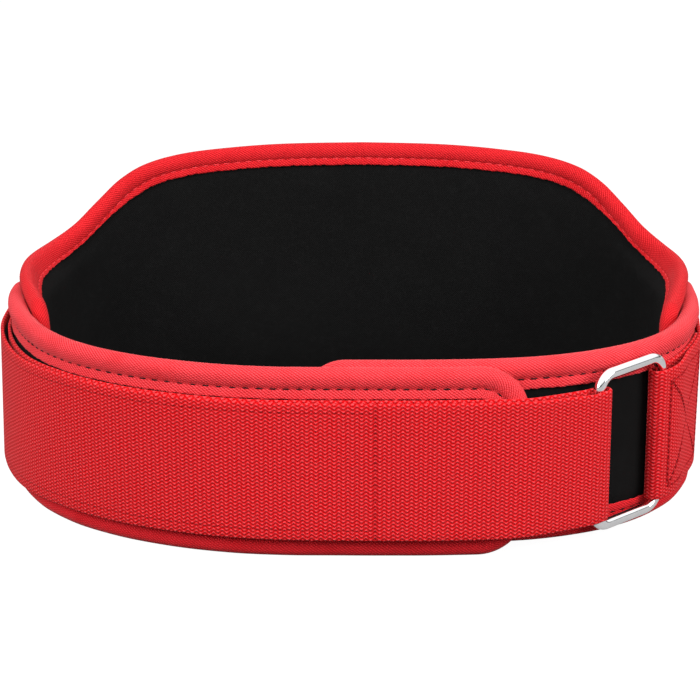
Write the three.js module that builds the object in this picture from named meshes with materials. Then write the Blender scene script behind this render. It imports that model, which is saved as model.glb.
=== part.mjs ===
// A padded weightlifting belt, closed and standing on its lower edge.
// Lengths are millimetres, +Z is up and the fastened front faces -Y.
// Every soft piece is laid out flat and then bent round one oval plan: a place on it is
// how far along the oval it lies, how far outside the oval it lies, and its height.

import * as THREE from 'three';

// The oval that the pads follow, a superellipse
const PLAN_HALF_WIDTH = 187.5;
const PLAN_HALF_DEPTH = 130;
const PLAN_EXPONENT = 2.8;
const PLAN_FACETS = 80;

// The two front wings
const WING_HEIGHT = 103.3;
const WING_CORNER_RADIUS = 22;
const LEFT_WING_FRONT_END = 90;
const RIGHT_WING_FRONT_END = -27;
const WING_REACH_PAST_SIDE = 26;
const LAP_RAMP_LENGTH = 168;

// The tall back panel, which lies inside the wings at its ends
const BACK_HEIGHT = 159.3;
const BACK_HALF_LENGTH = 325;
const BACK_TURN = -6;
const BACK_CORNER_RADIUS = 18;
const NEST_RAMP_LENGTH = 80;
const LEAN_START_BELOW_WING_TOP = 6;
const LEAN_SHARE = 0.69;
const LEAN_RAMP_LENGTH = 90;

// Pads and the tape folded over their edges
const PAD_BODY_THICKNESS = 9.4;
const PAD_EDGE_THICKNESS = 6.6;
const PAD_RIM_THICKNESS = 4;
const PAD_SHOULDER = 4;
const BINDING_THICKNESS = 12;
const BINDING_HEM_THICKNESS = 10;
const BINDING_FOOT_WIDTH = 4.4;
const BINDING_DEPTH = 13;
const BINDING_WALL = 1.1;
const STITCH_INSET = 4;
const STITCH_GROOVE = 0.25;

// Webbing strap, hook tape and ring
const WEBBING_THICKNESS = 2;
const STRAP_WIDTH = 74.5;
const STRAP_WIDTH_AT_RING = 72;
const STRAP_NARROWING_LENGTH = 60;
const STRAP_DROP = 2;
const STRAP_REACH_PAST_SIDE = 60;
const SEWN_TAIL_LENGTH = 60;
const TAPE_THICKNESS = 1.2;
const TAPE_WIDTH = 66;
const TAPE_START = 12;
const TAPE_END_MARGIN = 4;
const RING_WIRE_DIAMETER = 6.2;
const RING_CENTRE_WIDTH = 45;
const RING_RISE = 1.3;
const RING_CORNER_RADIUS = 8.5;
const RING_FRONT_BAR_ALONG = 123;
const RING_FRONT_BAR_LIFT = 3.4;
const RING_SIDES = 10;
const RING_CORNER_STEPS = 5;
const TURN_STEPS = 6;
const FRONT_SLACK = 1.6;
const SIDE_SLACK = 0.5;

// Clearances
const LAYER_GAP = 0.3;
const RIM_GAP = 0.45;
const LAP_GAP = 1.7;
const NEST_GAP = 0.5;
const RING_HEIGHT_PLAY = 5;
const HEM_GAP = 1.5;

// Colours
const BLACK_CLOTH = 0x161616;
const RED_TAPE = 0xc8242c;
const RED_WEBBING = 0xcb2a2f;
const STEEL = 0xd4d6d8;

// How far the pads stand outside the oval. The place along is in quarters of the oval from the
// middle of the front, positive towards +X, and the offset is a share of the half depth.
const PAD_RUN = [
  { along: -2.0, offset: 0 },
  { along: -1.25, offset: 0.004 },
  { along: -1.1, offset: 0 },
  { along: -1.0, offset: -0.006 },
  { along: -0.9, offset: -0.032 },
  { along: -0.8, offset: -0.055 },
  { along: -0.68, offset: -0.054 },
  { along: -0.53, offset: -0.042 },
  { along: -0.38, offset: -0.027 },
  { along: -0.21, offset: -0.015 },
  { along: 0, offset: -0.015 },
  { along: 0.22, offset: -0.008 },
  { along: 0.38, offset: -0.006 },
  { along: 0.62, offset: -0.032 },
  { along: 0.8, offset: -0.035 },
  { along: 1.0, offset: -0.012 },
  { along: 1.2, offset: -0.004 },
  { along: 1.5, offset: -0.01 },
  { along: 2.0, offset: 0 },
];

// The back panel's top edge. The distance from its middle is a share of its half length, and
// the rise is a share of what it stands above the wings.
const BACK_TOP = [
  { out: 0, rise: 1 },
  { out: 0.15, rise: 0.985 },
  { out: 0.25, rise: 0.952 },
  { out: 0.34, rise: 0.905 },
  { out: 0.41, rise: 0.815 },
  { out: 0.46, rise: 0.68 },
  { out: 0.505, rise: 0.505 },
  { out: 0.555, rise: 0.33 },
  { out: 0.61, rise: 0.245 },
  { out: 0.68, rise: 0.215 },
  { out: 0.78, rise: 0.222 },
  { out: 0.85, rise: 0.2 },
  { out: 0.9, rise: 0.13 },
  { out: 0.95, rise: 0.06 },
  { out: 1, rise: 0.02 },
];

// Room under the strap's outer turn, as shares of the front and the side slack.
const OUTER_SLACK = [
  { along: -1.3, front: 0, side: 0.2 },
  { along: -1.0, front: 0, side: 1 },
  { along: -0.8, front: 0, side: 0.4 },
  { along: -0.6, front: 0, side: 0 },
  { along: -0.25, front: 0.1, side: 0 },
  { along: 0, front: 1, side: 0 },
  { along: 0.22, front: 1, side: 0 },
  { along: 0.5, front: 0, side: 0 },
];

// Derived sizes
const LAP_STEP = BINDING_THICKNESS + LAP_GAP;
const NEST_STEP = BINDING_THICKNESS + NEST_GAP;
const LEAN_START = WING_HEIGHT - LEAN_START_BELOW_WING_TOP;
const BAR_TURN_RADIUS = (RING_WIRE_DIAMETER + WEBBING_THICKNESS) / 2 + LAYER_GAP;
const STRAP_MIDDLE = WING_HEIGHT / 2 - STRAP_DROP;
const FIRST_LAYER = (BINDING_THICKNESS + WEBBING_THICKNESS) / 2 + LAYER_GAP;
const SECOND_LAYER = FIRST_LAYER + WEBBING_THICKNESS + LAYER_GAP;
const OUTER_LAYER = FIRST_LAYER + WEBBING_THICKNESS + TAPE_THICKNESS + 2 * LAYER_GAP;
const RING_CENTRE_HEIGHT = STRAP_WIDTH_AT_RING + RING_HEIGHT_PLAY + RING_WIRE_DIAMETER;
const WEBBING_IN_CORNER = RING_CORNER_RADIUS + RING_RISE - (RING_CENTRE_HEIGHT - STRAP_WIDTH_AT_RING) / 2;
const RING_CORNER_INSIDE = RING_CORNER_RADIUS - RING_WIRE_DIAMETER / 2;
const RING_CORNER_CROWDING = RING_CORNER_INSIDE
  - Math.sqrt(Math.max(0, RING_CORNER_INSIDE ** 2 - Math.max(0, WEBBING_IN_CORNER) ** 2));

const clamp01 = (x) => Math.min(1, Math.max(0, x));
const smooth = (x) => clamp01(x) ** 2 * (3 - 2 * clamp01(x));
const mix = (a, b, share) => a + (b - a) * share;

// A smooth curve through one column of a table, held level past its ends
function tableValue(rows, key, column, at) {
  const last = rows.length - 1;
  if (at <= rows[0][key]) return rows[0][column];
  if (at >= rows[last][key]) return rows[last][column];
  const next = rows.findIndex((row) => row[key] > at);
  const slope = (index) => {
    const before = rows[Math.max(0, index - 1)];
    const after = rows[Math.min(last, index + 1)];
    return (after[column] - before[column]) / (after[key] - before[key]);
  };
  const [from, to] = [rows[next - 1], rows[next]];
  const span = to[key] - from[key];
  const s = (at - from[key]) / span;
  const bend = s * (1 - s) * span;
  const level = mix(from[column], to[column], smooth(s));
  return level + bend * ((1 - s) * slope(next - 1) - s * slope(next));
}

// Evenly spaced stations round the oval, each with its outward direction
function measurePlan() {
  const steps = 4000;
  const points = [];
  for (let i = 0; i <= steps; i += 1) {
    const angle = (2 * Math.PI * i) / steps;
    const bend = (value) => Math.sign(value) * Math.abs(value) ** (2 / PLAN_EXPONENT);
    points.push([PLAN_HALF_WIDTH * bend(Math.sin(angle)), -PLAN_HALF_DEPTH * bend(Math.cos(angle))]);
  }
  const lengths = [0];
  for (let i = 1; i <= steps; i += 1) {
    const step = Math.hypot(points[i][0] - points[i - 1][0], points[i][1] - points[i - 1][1]);
    lengths.push(lengths[i - 1] + step);
  }
  const perimeter = lengths[steps];
  const place = (length) => {
    const wanted = ((length % perimeter) + perimeter) % perimeter;
    const next = Math.max(1, lengths.findIndex((value) => value >= wanted));
    const share = (wanted - lengths[next - 1]) / (lengths[next] - lengths[next - 1]);
    return new THREE.Vector2(
      mix(points[next - 1][0], points[next][0], share),
      mix(points[next - 1][1], points[next][1], share),
    );
  };
  const stations = [];
  const facet = perimeter / PLAN_FACETS;
  for (let i = 0; i < PLAN_FACETS; i += 1) {
    const heading = place((i + 0.25) * facet).sub(place((i - 0.25) * facet)).normalize();
    stations.push({ point: place(i * facet), outward: new THREE.Vector2(heading.y, -heading.x) });
  }
  return { perimeter, facet, quarter: perimeter / 4, stations };
}

const PLAN = measurePlan();

// A place along and outside the oval, on its flat facets, so that all layers share them
function planPoint(along, offset) {
  const index = Math.floor(along / PLAN.facet);
  const share = along / PLAN.facet - index;
  const from = PLAN.stations[((index % PLAN_FACETS) + PLAN_FACETS) % PLAN_FACETS];
  const to = PLAN.stations[(((index + 1) % PLAN_FACETS) + PLAN_FACETS) % PLAN_FACETS];
  const outward = from.outward.clone().lerp(to.outward, share);
  return from.point.clone().lerp(to.point, share).addScaledVector(outward, offset);
}

const signedAlong = (along) => along - PLAN.perimeter * Math.round(along / PLAN.perimeter);

// Where the middle of the pads' thickness lies, as an offset from the oval
function padRun(along) {
  return PLAN_HALF_DEPTH * tableValue(PAD_RUN, 'along', 'offset', signedAlong(along) / PLAN.quarter);
}

// The left wing climbs over the front end of the right wing
function leftWingRun(along) {
  const climb = (along - RIGHT_WING_FRONT_END) / LAP_RAMP_LENGTH + 1;
  return padRun(along) + LAP_STEP * smooth(climb);
}

const WING_REAR_END = PLAN.quarter + WING_REACH_PAST_SIDE;
const BACK_MIDDLE = 2 * PLAN.quarter + BACK_TURN;

function backTop(along) {
  const out = Math.abs(along - BACK_MIDDLE) / BACK_HALF_LENGTH;
  return WING_HEIGHT + (BACK_HEIGHT - WING_HEIGHT) * tableValue(BACK_TOP, 'out', 'rise', out);
}

// The back panel lies inside the wings, comes out behind them and leans out over their tops
function backRun(along, height) {
  const pastWing = Math.abs(signedAlong(along)) - WING_REAR_END;
  const nested = 1 - smooth(pastWing / NEST_RAMP_LENGTH);
  const top = backTop(along);
  const risen = clamp01((height - LEAN_START) / (top - LEAN_START));
  const fromEnd = BACK_HALF_LENGTH - Math.abs(along - BACK_MIDDLE);
  const lean = LEAN_SHARE * risen * smooth(fromEnd / LEAN_RAMP_LENGTH);
  return padRun(along) - NEST_STEP * nested * (1 - lean);
}

// Grid stations of the oval strictly between two places along it
function stationsBetween(from, to) {
  const found = [];
  const margin = PLAN.facet * 0.08;
  for (let i = Math.ceil((from + margin) / PLAN.facet); i * PLAN.facet < to - margin; i += 1) {
    found.push(i * PLAN.facet);
  }
  return found;
}

// A shape cut from flat pad: its ends, its corner radius, its top edge and where it runs
const PADS = {
  back: {
    from: BACK_MIDDLE - BACK_HALF_LENGTH,
    to: BACK_MIDDLE + BACK_HALF_LENGTH,
    corner: BACK_CORNER_RADIUS,
    top: backTop,
    run: backRun,
  },
  left: {
    from: -WING_REAR_END,
    to: LEFT_WING_FRONT_END,
    corner: WING_CORNER_RADIUS,
    top: () => WING_HEIGHT,
    run: leftWingRun,
  },
  right: {
    from: RIGHT_WING_FRONT_END,
    to: WING_REAR_END,
    corner: WING_CORNER_RADIUS,
    top: () => WING_HEIGHT,
    run: padRun,
  },
};

// A corner's stations, as angles from the pad's level edge towards its upright end
const CORNER_ANGLES = [0, 30, 50, 70, 90].map(THREE.MathUtils.degToRad);

function sheetPoint(pad, along, height, out) {
  const place = planPoint(along, pad.run(along, height) + out);
  return new THREE.Vector3(place.x, place.y, height);
}

// How much longer a depth measured straight down is than one square to the top edge
const slant = (pad, along) => Math.hypot(1, (pad.top(along + 1) - pad.top(along - 1)) / 2);

// Round a pad's outline once: each station has a place, a height and the way into the pad
function outline(pad) {
  const low = pad.from + pad.corner;
  const high = pad.to - pad.corner;
  const inner = stationsBetween(low, high);
  const corner = (centre, height, side, level) => CORNER_ANGLES.map((angle) => ({
    along: centre + side * pad.corner * Math.sin(angle),
    height: height + level * pad.corner * Math.cos(angle),
    inward: [-side * Math.sin(angle), -level * Math.cos(angle)],
  }));
  const bottomRight = corner(high, pad.corner, 1, -1);
  const topRight = corner(high, pad.top(high) - pad.corner, 1, 1).reverse();
  const topLeft = corner(low, pad.top(low) - pad.corner, -1, 1);
  const bottomLeft = corner(low, pad.corner, -1, -1).reverse();
  const bottom = inner.map((along) => ({ along, height: 0, inward: [0, 1] }));
  const top = inner.map((along) => ({
    along,
    height: pad.top(along),
    inward: [0, -slant(pad, along)],
  })).reverse();
  return [...bottomRight, ...topRight, ...top, ...topLeft, ...bottomLeft, ...bottom];
}

// Half the folded tape's section, from its foot to its hem and back along its inside
function bindingSection() {
  const groove = BINDING_DEPTH - STITCH_INSET;
  const half = [
    [0, BINDING_FOOT_WIDTH / 2],
    [groove / 2, BINDING_THICKNESS / 2],
    [groove, BINDING_HEM_THICKNESS / 2 - STITCH_GROOVE],
    [BINDING_DEPTH, BINDING_HEM_THICKNESS / 2],
    [BINDING_DEPTH, BINDING_HEM_THICKNESS / 2 - BINDING_WALL],
    [BINDING_WALL + RIM_GAP / 2, PAD_RIM_THICKNESS / 2 + RIM_GAP],
  ];
  return [...half, ...half.map(([depth, out]) => [depth, -out]).reverse()];
}

function bindingMesh(pad) {
  const section = bindingSection();
  const rings = outline(pad).map(({ along, height, inward }) => section.map(([depth, out]) => (
    sheetPoint(pad, along + inward[0] * depth, height + inward[1] * depth, out)
  )));
  return sweptGeometry(rings, true);
}

// How far a place lies inside a pad's outline, which has rounded corners
function depthInside(pad, along, height) {
  const end = Math.min(along - pad.from, pad.to - along);
  const edge = Math.min(height, (pad.top(along) - height) / slant(pad, along));
  if (end >= pad.corner || edge >= pad.corner) return Math.min(end, edge);
  return pad.corner - Math.hypot(pad.corner - end, pad.corner - edge);
}

// Half the pad's thickness: thin under the tape, full past it
function padHalfThickness(depth) {
  const rim = BINDING_WALL + RIM_GAP;
  const underTape = mix(PAD_RIM_THICKNESS, PAD_EDGE_THICKNESS, clamp01((depth - rim) / (BINDING_DEPTH - rim)));
  const swell = clamp01((depth - BINDING_DEPTH - HEM_GAP) / PAD_SHOULDER);
  return mix(underTape, PAD_BODY_THICKNESS, swell) / 2;
}

function padMesh(pad, extraRows) {
  const rim = BINDING_WALL + RIM_GAP + LAYER_GAP / 2;
  const radius = pad.corner - rim;
  const low = pad.from + pad.corner;
  const high = pad.to - pad.corner;
  const cornerColumn = (centre, side) => (angle) => {
    const lift = pad.corner - radius * Math.cos(angle);
    return { along: centre + side * radius * Math.sin(angle), foot: lift, head: pad.top(centre) - lift };
  };
  const rimDrop = (along) => rim * slant(pad, along);
  const middle = stationsBetween(low, high);
  const columns = [
    ...CORNER_ANGLES.map(cornerColumn(low, -1)).reverse(),
    ...middle.map((along) => ({ along, foot: rim, head: pad.top(along) - rimDrop(along) })),
    ...CORNER_ANGLES.map(cornerColumn(high, 1)),
  ];
  const hem = BINDING_DEPTH + HEM_GAP - rim;
  const body = hem + PAD_SHOULDER;
  const grid = columns.map(({ along, foot, head }) => {
    const full = pad.top(along) - rim - rimDrop(along);
    const upperHem = full - hem * slant(pad, along);
    const upperBody = full - body * slant(pad, along);
    const rises = [0, hem, body, upperBody, upperHem, full, ...extraRows(rim, upperBody, upperHem, full)];
    return rises.sort((a, b) => a - b).map((rise) => {
      const height = foot + ((head - foot) * rise) / full;
      return { along, height, half: padHalfThickness(depthInside(pad, along, height)) };
    });
  });
  return slabGeometry(grid, pad);
}

// The strap's half height narrows towards the ring's bars
function strapHalf(distance) {
  return mix(STRAP_WIDTH_AT_RING, STRAP_WIDTH, smooth(distance / STRAP_NARROWING_LENGTH)) / 2;
}

function outerSlack(along) {
  const at = signedAlong(along) / PLAN.quarter;
  const front = FRONT_SLACK * tableValue(OUTER_SLACK, 'along', 'front', at);
  return front + SIDE_SLACK * tableValue(OUTER_SLACK, 'along', 'side', at);
}

// The ring's two upright bars in plan: the front one is set, the rear one a ring's width away
function ringBars() {
  const seat = FIRST_LAYER + BAR_TURN_RADIUS;
  const front = planPoint(RING_FRONT_BAR_ALONG, padRun(RING_FRONT_BAR_ALONG) + seat + RING_FRONT_BAR_LIFT);
  let low = RING_FRONT_BAR_ALONG;
  let high = RING_FRONT_BAR_ALONG + 2 * RING_CENTRE_WIDTH;
  for (let i = 0; i < 50; i += 1) {
    const middle = (low + high) / 2;
    const far = planPoint(middle, padRun(middle) + seat).distanceTo(front) > RING_CENTRE_WIDTH;
    [low, high] = far ? [low, middle] : [middle, high];
  }
  const rear = planPoint(low, padRun(low) + seat);
  const across = rear.clone().sub(front).normalize();
  return { front, rear, across, outward: new THREE.Vector2(across.y, -across.x), rearAlong: low };
}

const BARS = ringBars();

// Half a turn of webbing round a bar, from its back to its front or the other way
function barTurn(bar, side, fromBack) {
  const turn = [];
  for (let i = 0; i <= TURN_STEPS; i += 1) {
    const angle = (Math.PI * i) / TURN_STEPS;
    const out = -Math.cos(angle) * BAR_TURN_RADIUS;
    const past = side * (RING_CORNER_CROWDING + Math.sin(angle) * BAR_TURN_RADIUS);
    const place = bar.clone().addScaledVector(BARS.outward, out).addScaledVector(BARS.across, past);
    turn.push({ place, half: STRAP_WIDTH_AT_RING / 2 });
  }
  return fromBack ? turn : turn.reverse();
}

// Where the webbing passes level with a bar: behind it with side -1, or before it with side 1
function besideBar(bar, side, past) {
  const place = bar.clone()
    .addScaledVector(BARS.outward, side * BAR_TURN_RADIUS)
    .addScaledVector(BARS.across, past);
  return { place, half: STRAP_WIDTH_AT_RING / 2 };
}

// One length of webbing: a sewn tail, a loop on the rear bar, once round the belt, through the
// ring at the front bar and back over itself to the free end at the left rear
function strapMesh() {
  const rearBar = BARS.rearAlong;
  const tailEnd = rearBar + SEWN_TAIL_LENGTH;
  const offBar = rearBar + RING_WIRE_DIAMETER;
  const overTail = (along) => {
    const spread = smooth(1 - (along - offBar) / (PLAN.facet * 2));
    const settled = 1 - smooth((along - tailEnd) / PLAN.facet);
    const loop = FIRST_LAYER + 2 * BAR_TURN_RADIUS;
    return mix(mix(FIRST_LAYER, SECOND_LAYER, settled), loop, spread);
  };
  const at = (along, offset, distance) => ({ place: planPoint(along, offset), half: strapHalf(distance) });
  const tail = [tailEnd, ...stationsBetween(rearBar, tailEnd).reverse()]
    .map((along) => at(along, padRun(along) + FIRST_LAYER, along - rearBar));
  const round = stationsBetween(offBar, PLAN.perimeter + LEFT_WING_FRONT_END)
    .map((along) => {
      const front = along - PLAN.perimeter;
      const run = along > 3 * PLAN.quarter - WING_REACH_PAST_SIDE ? leftWingRun(front) : padRun(along);
      const distance = Math.min(along - rearBar, RING_FRONT_BAR_ALONG - front);
      return at(along, run + overTail(along), distance);
    });
  const lapEnd = LEFT_WING_FRONT_END + LAYER_GAP;
  const free = -PLAN.quarter - STRAP_REACH_PAST_SIDE;
  const outer = (along) => at(
    along,
    leftWingRun(along) + OUTER_LAYER + outerSlack(along),
    RING_FRONT_BAR_ALONG - along,
  );
  const path = [
    ...tail,
    ...barTurn(BARS.rear, -1, true),
    besideBar(BARS.rear, 1, 0),
    ...round,
    at(lapEnd, leftWingRun(lapEnd) + FIRST_LAYER, RING_FRONT_BAR_ALONG - lapEnd),
    besideBar(BARS.front, -1, -RING_WIRE_DIAMETER),
    ...barTurn(BARS.front, 1, true),
    besideBar(BARS.front, 1, -RING_WIRE_DIAMETER),
    outer(lapEnd),
    ...stationsBetween(free, lapEnd).reverse().map(outer),
    outer(free),
  ];
  return ribbonGeometry(path, WEBBING_THICKNESS);
}

function hookTapeMesh() {
  const end = -PLAN.quarter - STRAP_REACH_PAST_SIDE + TAPE_END_MARGIN;
  const inward = (TAPE_THICKNESS + WEBBING_THICKNESS) / 2 + LAYER_GAP;
  const path = [end, ...stationsBetween(end, TAPE_START), TAPE_START].map((along) => ({
    place: planPoint(along, leftWingRun(along) + OUTER_LAYER + outerSlack(along) - inward),
    half: TAPE_WIDTH / 2,
  }));
  return ribbonGeometry(path, TAPE_THICKNESS);
}

// Round wire bent to a rectangle with round corners, standing across the webbing
function ringMesh() {
  const centre = BARS.front.clone().add(BARS.rear).multiplyScalar(0.5);
  const reach = [RING_CENTRE_WIDTH / 2 - RING_CORNER_RADIUS, RING_CENTRE_HEIGHT / 2 - RING_CORNER_RADIUS];
  const across = new THREE.Vector3(BARS.across.x, BARS.across.y, 0);
  const outward = new THREE.Vector3(BARS.outward.x, BARS.outward.y, 0);
  const up = new THREE.Vector3(0, 0, 1);
  const rings = [];
  for (const [side, level, start] of [[1, 1, 0], [-1, 1, 1], [-1, -1, 2], [1, -1, 3]]) {
    for (let i = 0; i <= RING_CORNER_STEPS; i += 1) {
      const angle = (Math.PI / 2) * (start + i / RING_CORNER_STEPS);
      const away = across.clone().multiplyScalar(Math.cos(angle)).addScaledVector(up, Math.sin(angle));
      const middle = new THREE.Vector3(centre.x, centre.y, STRAP_MIDDLE + RING_RISE)
        .addScaledVector(across, side * reach[0])
        .addScaledVector(up, level * reach[1])
        .addScaledVector(away, RING_CORNER_RADIUS);
      rings.push(wireSection(middle, away, outward));
    }
  }
  return sweptGeometry(rings, true);
}

function wireSection(middle, away, outward) {
  const section = [];
  for (let i = 0; i < RING_SIDES; i += 1) {
    const angle = (2 * Math.PI * (i + 0.5)) / RING_SIDES;
    section.push(middle.clone()
      .addScaledVector(away, (Math.cos(angle) * RING_WIRE_DIAMETER) / 2)
      .addScaledVector(outward, (Math.sin(angle) * RING_WIRE_DIAMETER) / 2));
  }
  return section;
}

// A flat band on edge: a plan path whose points each have the band's half height
function ribbonGeometry(path, thickness) {
  const rings = path.map(({ place, half }, index) => {
    const before = path[Math.max(0, index - 1)].place;
    const after = path[Math.min(path.length - 1, index + 1)].place;
    const into = place.clone().sub(before).normalize();
    const away = after.clone().sub(place).normalize();
    const heading = into.add(away).normalize();
    const reference = away.lengthSq() > 0 ? away : heading;
    const stretch = 1 / Math.max(0.5, Math.abs(heading.dot(reference)));
    const side = new THREE.Vector2(heading.y, -heading.x).multiplyScalar((thickness / 2) * stretch);
    return [[-1, -1], [1, -1], [1, 1], [-1, 1]].map(([out, level]) => new THREE.Vector3(
      place.x + out * side.x,
      place.y + out * side.y,
      STRAP_MIDDLE + level * half,
    ));
  });
  return sweptGeometry(rings, false);
}

// Skins between neighbouring sections of the same number of points
function sweptGeometry(rings, closed) {
  const count = rings[0].length;
  const faces = [];
  const at = (ring, point) => (ring % rings.length) * count + (point % count);
  for (let i = 0; i < rings.length - (closed ? 0 : 1); i += 1) {
    for (let j = 0; j < count; j += 1) {
      faces.push([at(i, j), at(i + 1, j), at(i + 1, j + 1), at(i, j + 1)]);
    }
  }
  if (!closed) {
    const end = rings.length - 1;
    faces.push([0, 1, 2, 3].map((j) => at(0, j)));
    faces.push([3, 2, 1, 0].map((j) => at(end, j)));
  }
  return solidGeometry(rings.flat(), faces);
}

// Two skins over one grid of places, joined round the rim
function slabGeometry(grid, pad) {
  const rows = grid[0].length;
  const columns = grid.length;
  const skin = (side) => grid.flat().map(({ along, height, half }) => sheetPoint(pad, along, height, side * half));
  const outer = (i, j) => i * rows + j;
  const inner = (i, j) => columns * rows + outer(i, j);
  const faces = [];
  for (let i = 0; i < columns - 1; i += 1) {
    for (let j = 0; j < rows - 1; j += 1) {
      faces.push([outer(i, j), outer(i + 1, j), outer(i + 1, j + 1), outer(i, j + 1)]);
      faces.push([inner(i, j), inner(i, j + 1), inner(i + 1, j + 1), inner(i + 1, j)]);
    }
    faces.push([inner(i, 0), inner(i + 1, 0), outer(i + 1, 0), outer(i, 0)]);
    const top = rows - 1;
    faces.push([outer(i, top), outer(i + 1, top), inner(i + 1, top), inner(i, top)]);
  }
  for (let j = 0; j < rows - 1; j += 1) {
    const end = columns - 1;
    faces.push([outer(0, j), outer(0, j + 1), inner(0, j + 1), inner(0, j)]);
    faces.push([inner(end, j), inner(end, j + 1), outer(end, j + 1), outer(end, j)]);
  }
  return solidGeometry([...skin(1), ...skin(-1)], faces);
}

// A closed geometry from points and four-sided faces, turned so that its faces point out
function solidGeometry(points, faces) {
  const triangles = faces.flatMap(([a, b, c, d]) => [[a, b, c], [a, c, d]]);
  const volume = triangles.reduce((sum, [a, b, c]) => (
    sum + points[a].dot(points[b].clone().cross(points[c]))
  ), 0);
  const index = triangles.flatMap(([a, b, c]) => (volume > 0 ? [a, b, c] : [a, c, b]));
  const geometry = new THREE.BufferGeometry().setFromPoints(points);
  geometry.setIndex(index);
  geometry.computeVertexNormals();
  return geometry;
}

function cloth(color) {
  return new THREE.MeshStandardMaterial({ color, roughness: 0.9, metalness: 0 });
}

function piece(name, geometry, material) {
  const mesh = new THREE.Mesh(geometry, material);
  mesh.name = name;
  return mesh;
}

// The back panel has rows more: half way to where it starts to lean, there, and under the tape
const leanRows = (rim, body, hem, full) => [
  (LEAN_START - rim) / 2,
  Math.min(LEAN_START - rim, body - PAD_SHOULDER),
  (hem + full) / 2,
];

const belt = new THREE.Group();
belt.add(
  piece('back_panel', padMesh(PADS.back, leanRows), cloth(BLACK_CLOTH)),
  piece('back_binding', bindingMesh(PADS.back), cloth(RED_TAPE)),
  piece('left_wing', padMesh(PADS.left, () => []), cloth(BLACK_CLOTH)),
  piece('left_wing_binding', bindingMesh(PADS.left), cloth(RED_TAPE)),
  piece('right_wing', padMesh(PADS.right, () => []), cloth(BLACK_CLOTH)),
  piece('right_wing_binding', bindingMesh(PADS.right), cloth(RED_TAPE)),
  piece('strap', strapMesh(), cloth(RED_WEBBING)),
  piece('hook_tape', hookTapeMesh(), cloth(BLACK_CLOTH)),
  piece('ring', ringMesh(), new THREE.MeshStandardMaterial({ color: STEEL, roughness: 0.15, metalness: 1 })),
);

// The origin is under the middle of the belt, on the surface that it stands on
const extent = new THREE.Box3().setFromObject(belt);
const middle = extent.getCenter(new THREE.Vector3());
belt.position.set(-middle.x, -middle.y, -extent.min.z);

export default belt;
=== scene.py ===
"""A padded weightlifting belt, closed and standing on its lower edge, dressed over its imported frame.

Every soft piece is laid out flat and bent round one oval. A place on it is how far along the oval
it lies, from the middle of the front towards +X, how high it is, and how far outside the oval it
lies. All lengths are metres, in the frame's own axes.
"""

from __future__ import annotations

import logging
import math
from dataclasses import dataclass, field
from enum import Enum
from functools import cached_property
from typing import Callable

import bpy
import numpy as np
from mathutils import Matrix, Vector


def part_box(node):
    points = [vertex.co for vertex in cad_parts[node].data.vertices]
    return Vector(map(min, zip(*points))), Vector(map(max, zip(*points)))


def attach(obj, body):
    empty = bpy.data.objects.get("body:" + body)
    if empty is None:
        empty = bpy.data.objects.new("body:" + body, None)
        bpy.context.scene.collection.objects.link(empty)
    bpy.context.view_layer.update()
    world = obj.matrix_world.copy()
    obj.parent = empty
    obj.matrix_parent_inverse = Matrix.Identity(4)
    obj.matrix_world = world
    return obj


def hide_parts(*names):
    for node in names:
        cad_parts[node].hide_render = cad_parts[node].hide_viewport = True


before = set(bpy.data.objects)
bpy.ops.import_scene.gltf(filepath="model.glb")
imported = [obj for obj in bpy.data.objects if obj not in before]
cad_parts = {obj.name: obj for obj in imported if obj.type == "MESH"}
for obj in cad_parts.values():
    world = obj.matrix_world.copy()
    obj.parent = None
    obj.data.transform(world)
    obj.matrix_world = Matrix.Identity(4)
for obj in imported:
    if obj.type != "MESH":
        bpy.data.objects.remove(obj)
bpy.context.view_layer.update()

LOG = logging.getLogger("belt")
SETTLES_BY = 0.0014
Array = np.ndarray


def smooth(x: Array) -> Array:
    """Rises from 0 to 1 with level ends: three x squared less two x cubed, x kept in 0 to 1."""
    x = np.clip(x, 0.0, 1.0)
    return x * x * (3.0 - 2.0 * x)


def mix(a: Array, b: Array, share: Array) -> Array:
    """The value that lies a share of the way from a to b."""
    return a + (b - a) * share


# Where things run


@dataclass(frozen=True)
class Curve:
    """A smooth curve through a short table, held level past its ends.

    Attributes:
        at: The table's places, rising.
        value: The value at each place.
    """

    at: tuple[float, ...]
    value: tuple[float, ...]

    def __call__(self, where: Array) -> Array:
        """Cubic between neighbours, whose slope at each place is that between its two neighbours.

        Args:
            where: The places to read.

        Returns:
            The curve's value at each of them.
        """
        at, value = np.array(self.at), np.array(self.value)
        low, high = np.maximum(np.arange(len(at)) - 1, 0), np.minimum(np.arange(len(at)) + 1, len(at) - 1)
        slope = (value[high] - value[low]) / (at[high] - at[low])
        i = np.clip(np.searchsorted(at, where, side="right") - 1, 0, len(at) - 2)
        span = at[i + 1] - at[i]
        s = np.clip((where - at[i]) / span, 0.0, 1.0)
        bend = s * (1.0 - s) * span
        return mix(value[i], value[i + 1], smooth(s)) + bend * ((1.0 - s) * slope[i] - s * slope[i + 1])


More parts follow.
